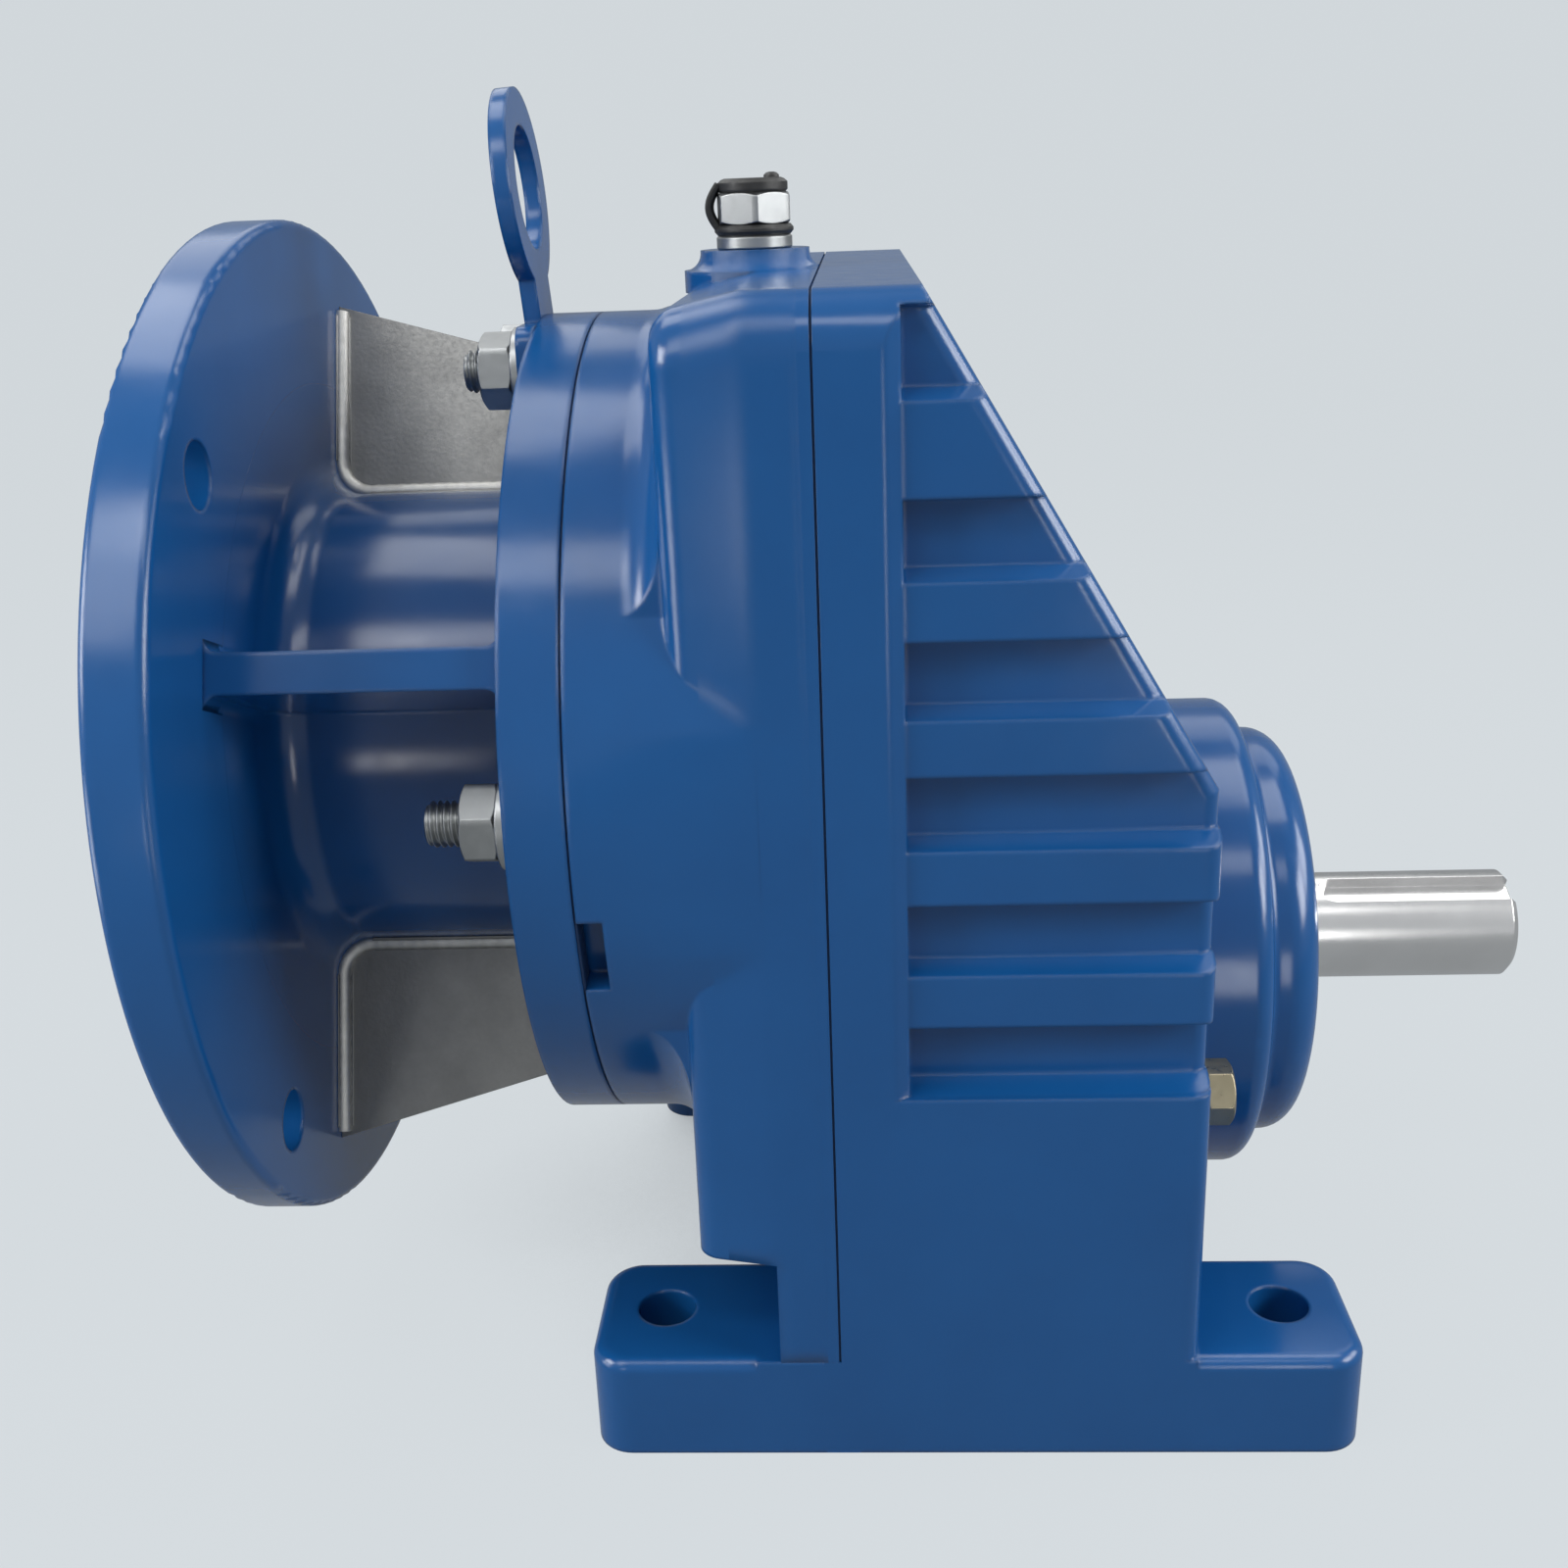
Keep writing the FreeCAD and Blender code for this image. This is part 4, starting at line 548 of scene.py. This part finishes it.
oil_low, oil_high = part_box("oil_level_plug")
oil_place = (0.0, (oil_low.y + oil_high.y) / 2 / MM, (oil_low.z + oil_high.z) / 2 / MM)
oil_flats = (oil_high.z - oil_low.z) / MM
oil_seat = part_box("oil_plug_washer")[1].x / MM
oil_head = hex_rings(oil_place, "x", oil_seat, oil_high.x / MM - oil_seat, oil_flats, 0.0)
oil_stem = turned(oil_place, "x", [(oil_low.x / MM, STEM_RADIUS), (oil_seat, STEM_RADIUS)], ROD_STEPS)
oil_plug = mesh_piece("chamfered_oil_plug", *joined([(oil_head, False), (oil_stem, False)]), "brass")
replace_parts(oil_plug, "oil_level_plug")


# Weld beads along the gussets

def bead_path(flange_x, disc_x):
    """Points of the weld as (x, radius, direction), down the flange, round the fillet and along the bell."""
    points = []
    low = BELL_RADIUS + BELL_FILLET
    for step in range(BEAD_FLANGE_STEPS):
        radius = GUSSET_REACH + (low - GUSSET_REACH) * step / BEAD_FLANGE_STEPS
        points.append((flange_x + BEAD_STAND, radius, (0.0, -1.0)))
    start = flange_x + BELL_FILLET
    reach = BELL_FILLET - BEAD_STAND
    for step in range(BEAD_FILLET_STEPS + 1):
        turn = math.pi / 2 * step / BEAD_FILLET_STEPS
        ahead = (math.sin(turn), -math.cos(turn))
        points.append((start - reach * math.cos(turn), low - reach * math.sin(turn), ahead))
    for step in range(1, BEAD_BELL_STEPS + 1):
        x = start + (disc_x - start) * step / BEAD_BELL_STEPS
        points.append((x, BELL_RADIUS + BEAD_STAND, (1.0, 0.0)))
    return points


def bead_rings(angle, side, flange_x, disc_x):
    """Rings of one weld, beside the gusset at this angle."""
    turn = math.radians(angle)
    outward = Vector((0.0, -math.cos(turn), math.sin(turn)))
    across = Vector((0.0, math.sin(turn), math.cos(turn))) * side
    middle = Vector((0.0, 0.0, INPUT_HEIGHT))
    rings = []
    for row, (x, radius, (ahead_x, ahead_out)) in enumerate(bead_path(flange_x, disc_x)):
        centre = middle + Vector((x, 0, 0)) + outward * radius + across * (GUSSET_HALF + BEAD_OFFSET)
        normal = Vector((-ahead_out, 0, 0)) + outward * ahead_x
        size = BEAD_RADIUS * (1.0 + BEAD_RIPPLE * math.sin(row * BEAD_RIPPLE_TURN))
        ring = []
        for step in range(BEAD_SIDES):
            spin = 2 * math.pi * step / BEAD_SIDES
            ring.append((centre + (normal * math.cos(spin) + across * math.sin(spin)) * size) * MM)
        rings.append(ring)
    return rings


flange_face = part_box("upper_gusset")[0].x / MM
bell_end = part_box("upper_gusset")[1].x / MM
beads = []
for angle in GUSSET_ANGLES:
    for side in (-1.0, 1.0):
        beads.append((bead_rings(angle, side, flange_face, bell_end), False))
weld = mesh_piece("weld_beads", *joined(beads), "bare_steel")
# The beads' paler metal is partly a painted highlight along the gusset edges.
weld.data.materials[0] = pale_weld_and_painted_highlight


# Floor, backdrop and light

# Lengths from here on are metres.
PAPER_GLOW = (0.708, 0.755, 0.787)
GLOW_SHARE = 0.9
GLOSSY_GLOW = 0.47
SHADE_REACH = 0.15
SHADE_DEEP = 0.05
SHADE_END = 0.25
FLOOR_HALF = 6.0
SWEEP_START = 2.0
SWEEP_RADIUS = 1.5
SWEEP_STEPS = 12
WALL_TOP = 6.0
SKY = (0.66, 0.69, 0.72)
SKY_LIGHT = 0.04
SKY_REFLECTED = 0.75
SKY_SEEN = 0.97


def backdrop_material():
    """Pale studio paper: even where the camera sees it, darker in reflections and in deep shade."""
    material, tree, shader = new_material("studio_paper")
    place = coordinates(tree)
    shader.inputs["Roughness"].default_value = 0.9
    shader.inputs["Specular IOR Level"].default_value = 0.1
    tone = two_tone(tree, noise(tree, place, 3.0), (0.29, 0.30, 0.31), (0.31, 0.32, 0.33))
    tree.links.new(tone, shader.inputs["Base Color"])
    glow = add(tree, "ShaderNodeEmission")
    glow.inputs["Color"].default_value = (*PAPER_GLOW, 1.0)
    path = add(tree, "ShaderNodeLightPath")
    level = add(tree, "ShaderNodeMath", operation="MULTIPLY_ADD")
    level.inputs[1].default_value = GLOSSY_GLOW
    tree.links.new(path.outputs["Is Glossy Ray"], level.inputs[0])
    tree.links.new(path.outputs["Is Camera Ray"], level.inputs[2])
    tree.links.new(level.outputs["Value"], glow.inputs["Strength"])
    seen = add(tree, "ShaderNodeMath", operation="MAXIMUM")
    tree.links.new(path.outputs["Is Camera Ray"], seen.inputs[0])
    tree.links.new(path.outputs["Is Glossy Ray"], seen.inputs[1])
    shade = add(tree, "ShaderNodeAmbientOcclusion", samples=12)
    shade.inputs["Distance"].default_value = SHADE_REACH
    openness = add(tree, "ShaderNodeMapRange")
    openness.inputs["From Min"].default_value = SHADE_DEEP
    openness.inputs["From Max"].default_value = SHADE_END
    openness.inputs["To Min"].default_value = GLOW_SHARE / 2
    openness.inputs["To Max"].default_value = GLOW_SHARE
    tree.links.new(shade.outputs["AO"], openness.inputs["Value"])
    share = add(tree, "ShaderNodeMath", operation="MULTIPLY")
    tree.links.new(seen.outputs["Value"], share.inputs[0])
    tree.links.new(openness.outputs["Result"], share.inputs[1])
    mix = add(tree, "ShaderNodeMixShader")
    tree.links.new(share.outputs["Value"], mix.inputs["Fac"])
    tree.links.new(shader.outputs["BSDF"], mix.inputs[1])
    tree.links.new(glow.outputs["Emission"], mix.inputs[2])
    output = tree.nodes["Material Output"]
    tree.links.new(mix.outputs["Shader"], output.inputs["Surface"])
    return material


def floor_piece():
    """Floor that curves up into the backdrop, far behind the object."""
    profile = [(-FLOOR_HALF, 0.0), (SWEEP_START, 0.0)]
    for step in range(1, SWEEP_STEPS + 1):
        turn = math.pi / 2 * step / SWEEP_STEPS
        profile.append((SWEEP_START + SWEEP_RADIUS * math.sin(turn), SWEEP_RADIUS - SWEEP_RADIUS * math.cos(turn)))
    profile.append((SWEEP_START + SWEEP_RADIUS, WALL_TOP))
    vertices, faces = [], []
    for y, z in profile:
        vertices += [(-FLOOR_HALF, y, z), (FLOOR_HALF, y, z)]
    for row in range(len(profile) - 1):
        faces.append((2 * row, 2 * row + 1, 2 * row + 3, 2 * row + 2))
    mesh = bpy.data.meshes.new("studio_floor")
    mesh.from_pydata(vertices, [], faces)
    mesh.shade_smooth()
    mesh.materials.append(backdrop_material())
    floor = bpy.data.objects.new("studio_floor", mesh)
    bpy.context.collection.objects.link(floor)


def softbox(name, place, width, height, power):
    """White area lamp that points at the middle of the object and isn't seen itself."""
    lamp = bpy.data.lights.new(name, "AREA")
    lamp.shape = "RECTANGLE"
    lamp.size = width
    lamp.size_y = height
    lamp.energy = power
    box = bpy.data.objects.new(name, lamp)
    box.location = place
    box.rotation_euler = (Vector(MIDDLE) - Vector(place)).to_track_quat("-Z", "Y").to_euler()
    box.visible_camera = False
    bpy.context.collection.objects.link(box)


def studio_world():
    """Dim surroundings, as pale as the paper where the camera or a reflection sees them."""
    world = bpy.data.worlds.new("studio")
    bpy.context.scene.world = world
    world.use_nodes = True
    tree = world.node_tree
    sky = tree.nodes["Background"]
    sky.inputs["Color"].default_value = (*SKY, 1.0)
    path = add(tree, "ShaderNodeLightPath")
    level = add(tree, "ShaderNodeMapRange")
    level.inputs["To Min"].default_value = SKY_LIGHT
    level.inputs["To Max"].default_value = SKY_REFLECTED
    tree.links.new(path.outputs["Is Glossy Ray"], level.inputs["Value"])
    seen = add(tree, "ShaderNodeMath", operation="MULTIPLY_ADD")
    seen.inputs[1].default_value = SKY_SEEN - SKY_LIGHT
    tree.links.new(path.outputs["Is Camera Ray"], seen.inputs[0])
    tree.links.new(level.outputs["Result"], seen.inputs[2])
    tree.links.new(seen.outputs["Value"], sky.inputs["Strength"])


MIDDLE = (-0.02, 0.0, 0.14)
# Name, place, width, height and power in watts
SOFTBOXES = (
    ("left_softbox", (-0.860, -0.392, 0.515), 0.36, 0.36, 4.9),
    ("left_low", (-0.582, -0.262, 0.075), 0.26, 0.14, 0.6),
    ("left_strip", (-0.300, -0.645, 0.110), 0.06, 0.08, 0.09),
    ("high_left", (-0.546, -0.647, 0.834), 0.30, 0.46, 1.5),
    ("right_strip", (0.196, -0.666, 0.100), 0.08, 0.18, 0.26),
    ("right_softbox", (0.820, -0.392, 0.515), 0.36, 0.36, 4.5),
    ("right_side", (0.907, 0.0, 0.515), 0.36, 0.36, 3.0),
    ("high_front", (-0.10, -0.60, 0.980), 0.90, 0.20, 2.2),
    ("top_left", (-0.400, 0.200, 1.040), 0.38, 0.55, 2.2),
    ("top_right", (0.360, 0.130, 1.075), 0.50, 0.38, 2.2),
    ("back_left", (-0.403, 0.663, 0.783), 0.50, 0.38, 0.7),
    ("back_right", (0.363, 0.663, 0.783), 0.50, 0.38, 0.8),
)
floor_piece()
studio_world()
for softbox_row in SOFTBOXES:
    softbox(*softbox_row)
bpy.context.scene.view_settings.view_transform = "Standard"


# Camera at the photograph's place

EYE = Vector((-22.25, -427.31, 282.72)) * MM
YAW = math.radians(2.96)
PITCH = math.radians(19.28)
ROLL = math.radians(-2.15)
FOCAL_PIXELS = 1748.73
IMAGE_PIXELS = 1600
SENSOR = 36.0

forward = Vector((-math.sin(YAW) * math.cos(PITCH), math.cos(YAW) * math.cos(PITCH), -math.sin(PITCH)))
level_right = Vector((math.cos(YAW), math.sin(YAW), 0.0))
level_up = level_right.cross(forward)
right = math.cos(ROLL) * level_right + math.sin(ROLL) * level_up
up = -math.sin(ROLL) * level_right + math.cos(ROLL) * level_up
lens = bpy.data.cameras.new("photo_camera")
lens.sensor_width = SENSOR
lens.lens = SENSOR * FOCAL_PIXELS / IMAGE_PIXELS
lens.clip_start = 0.01
camera = bpy.data.objects.new("photo_camera", lens)
camera.matrix_world = Matrix((
    (right.x, up.x, -forward.x, EYE.x),
    (right.y, up.y, -forward.y, EYE.y),
    (right.z, up.z, -forward.z, EYE.z),
    (0.0, 0.0, 0.0, 1.0)))
bpy.context.collection.objects.link(camera)
bpy.context.scene.camera = camera
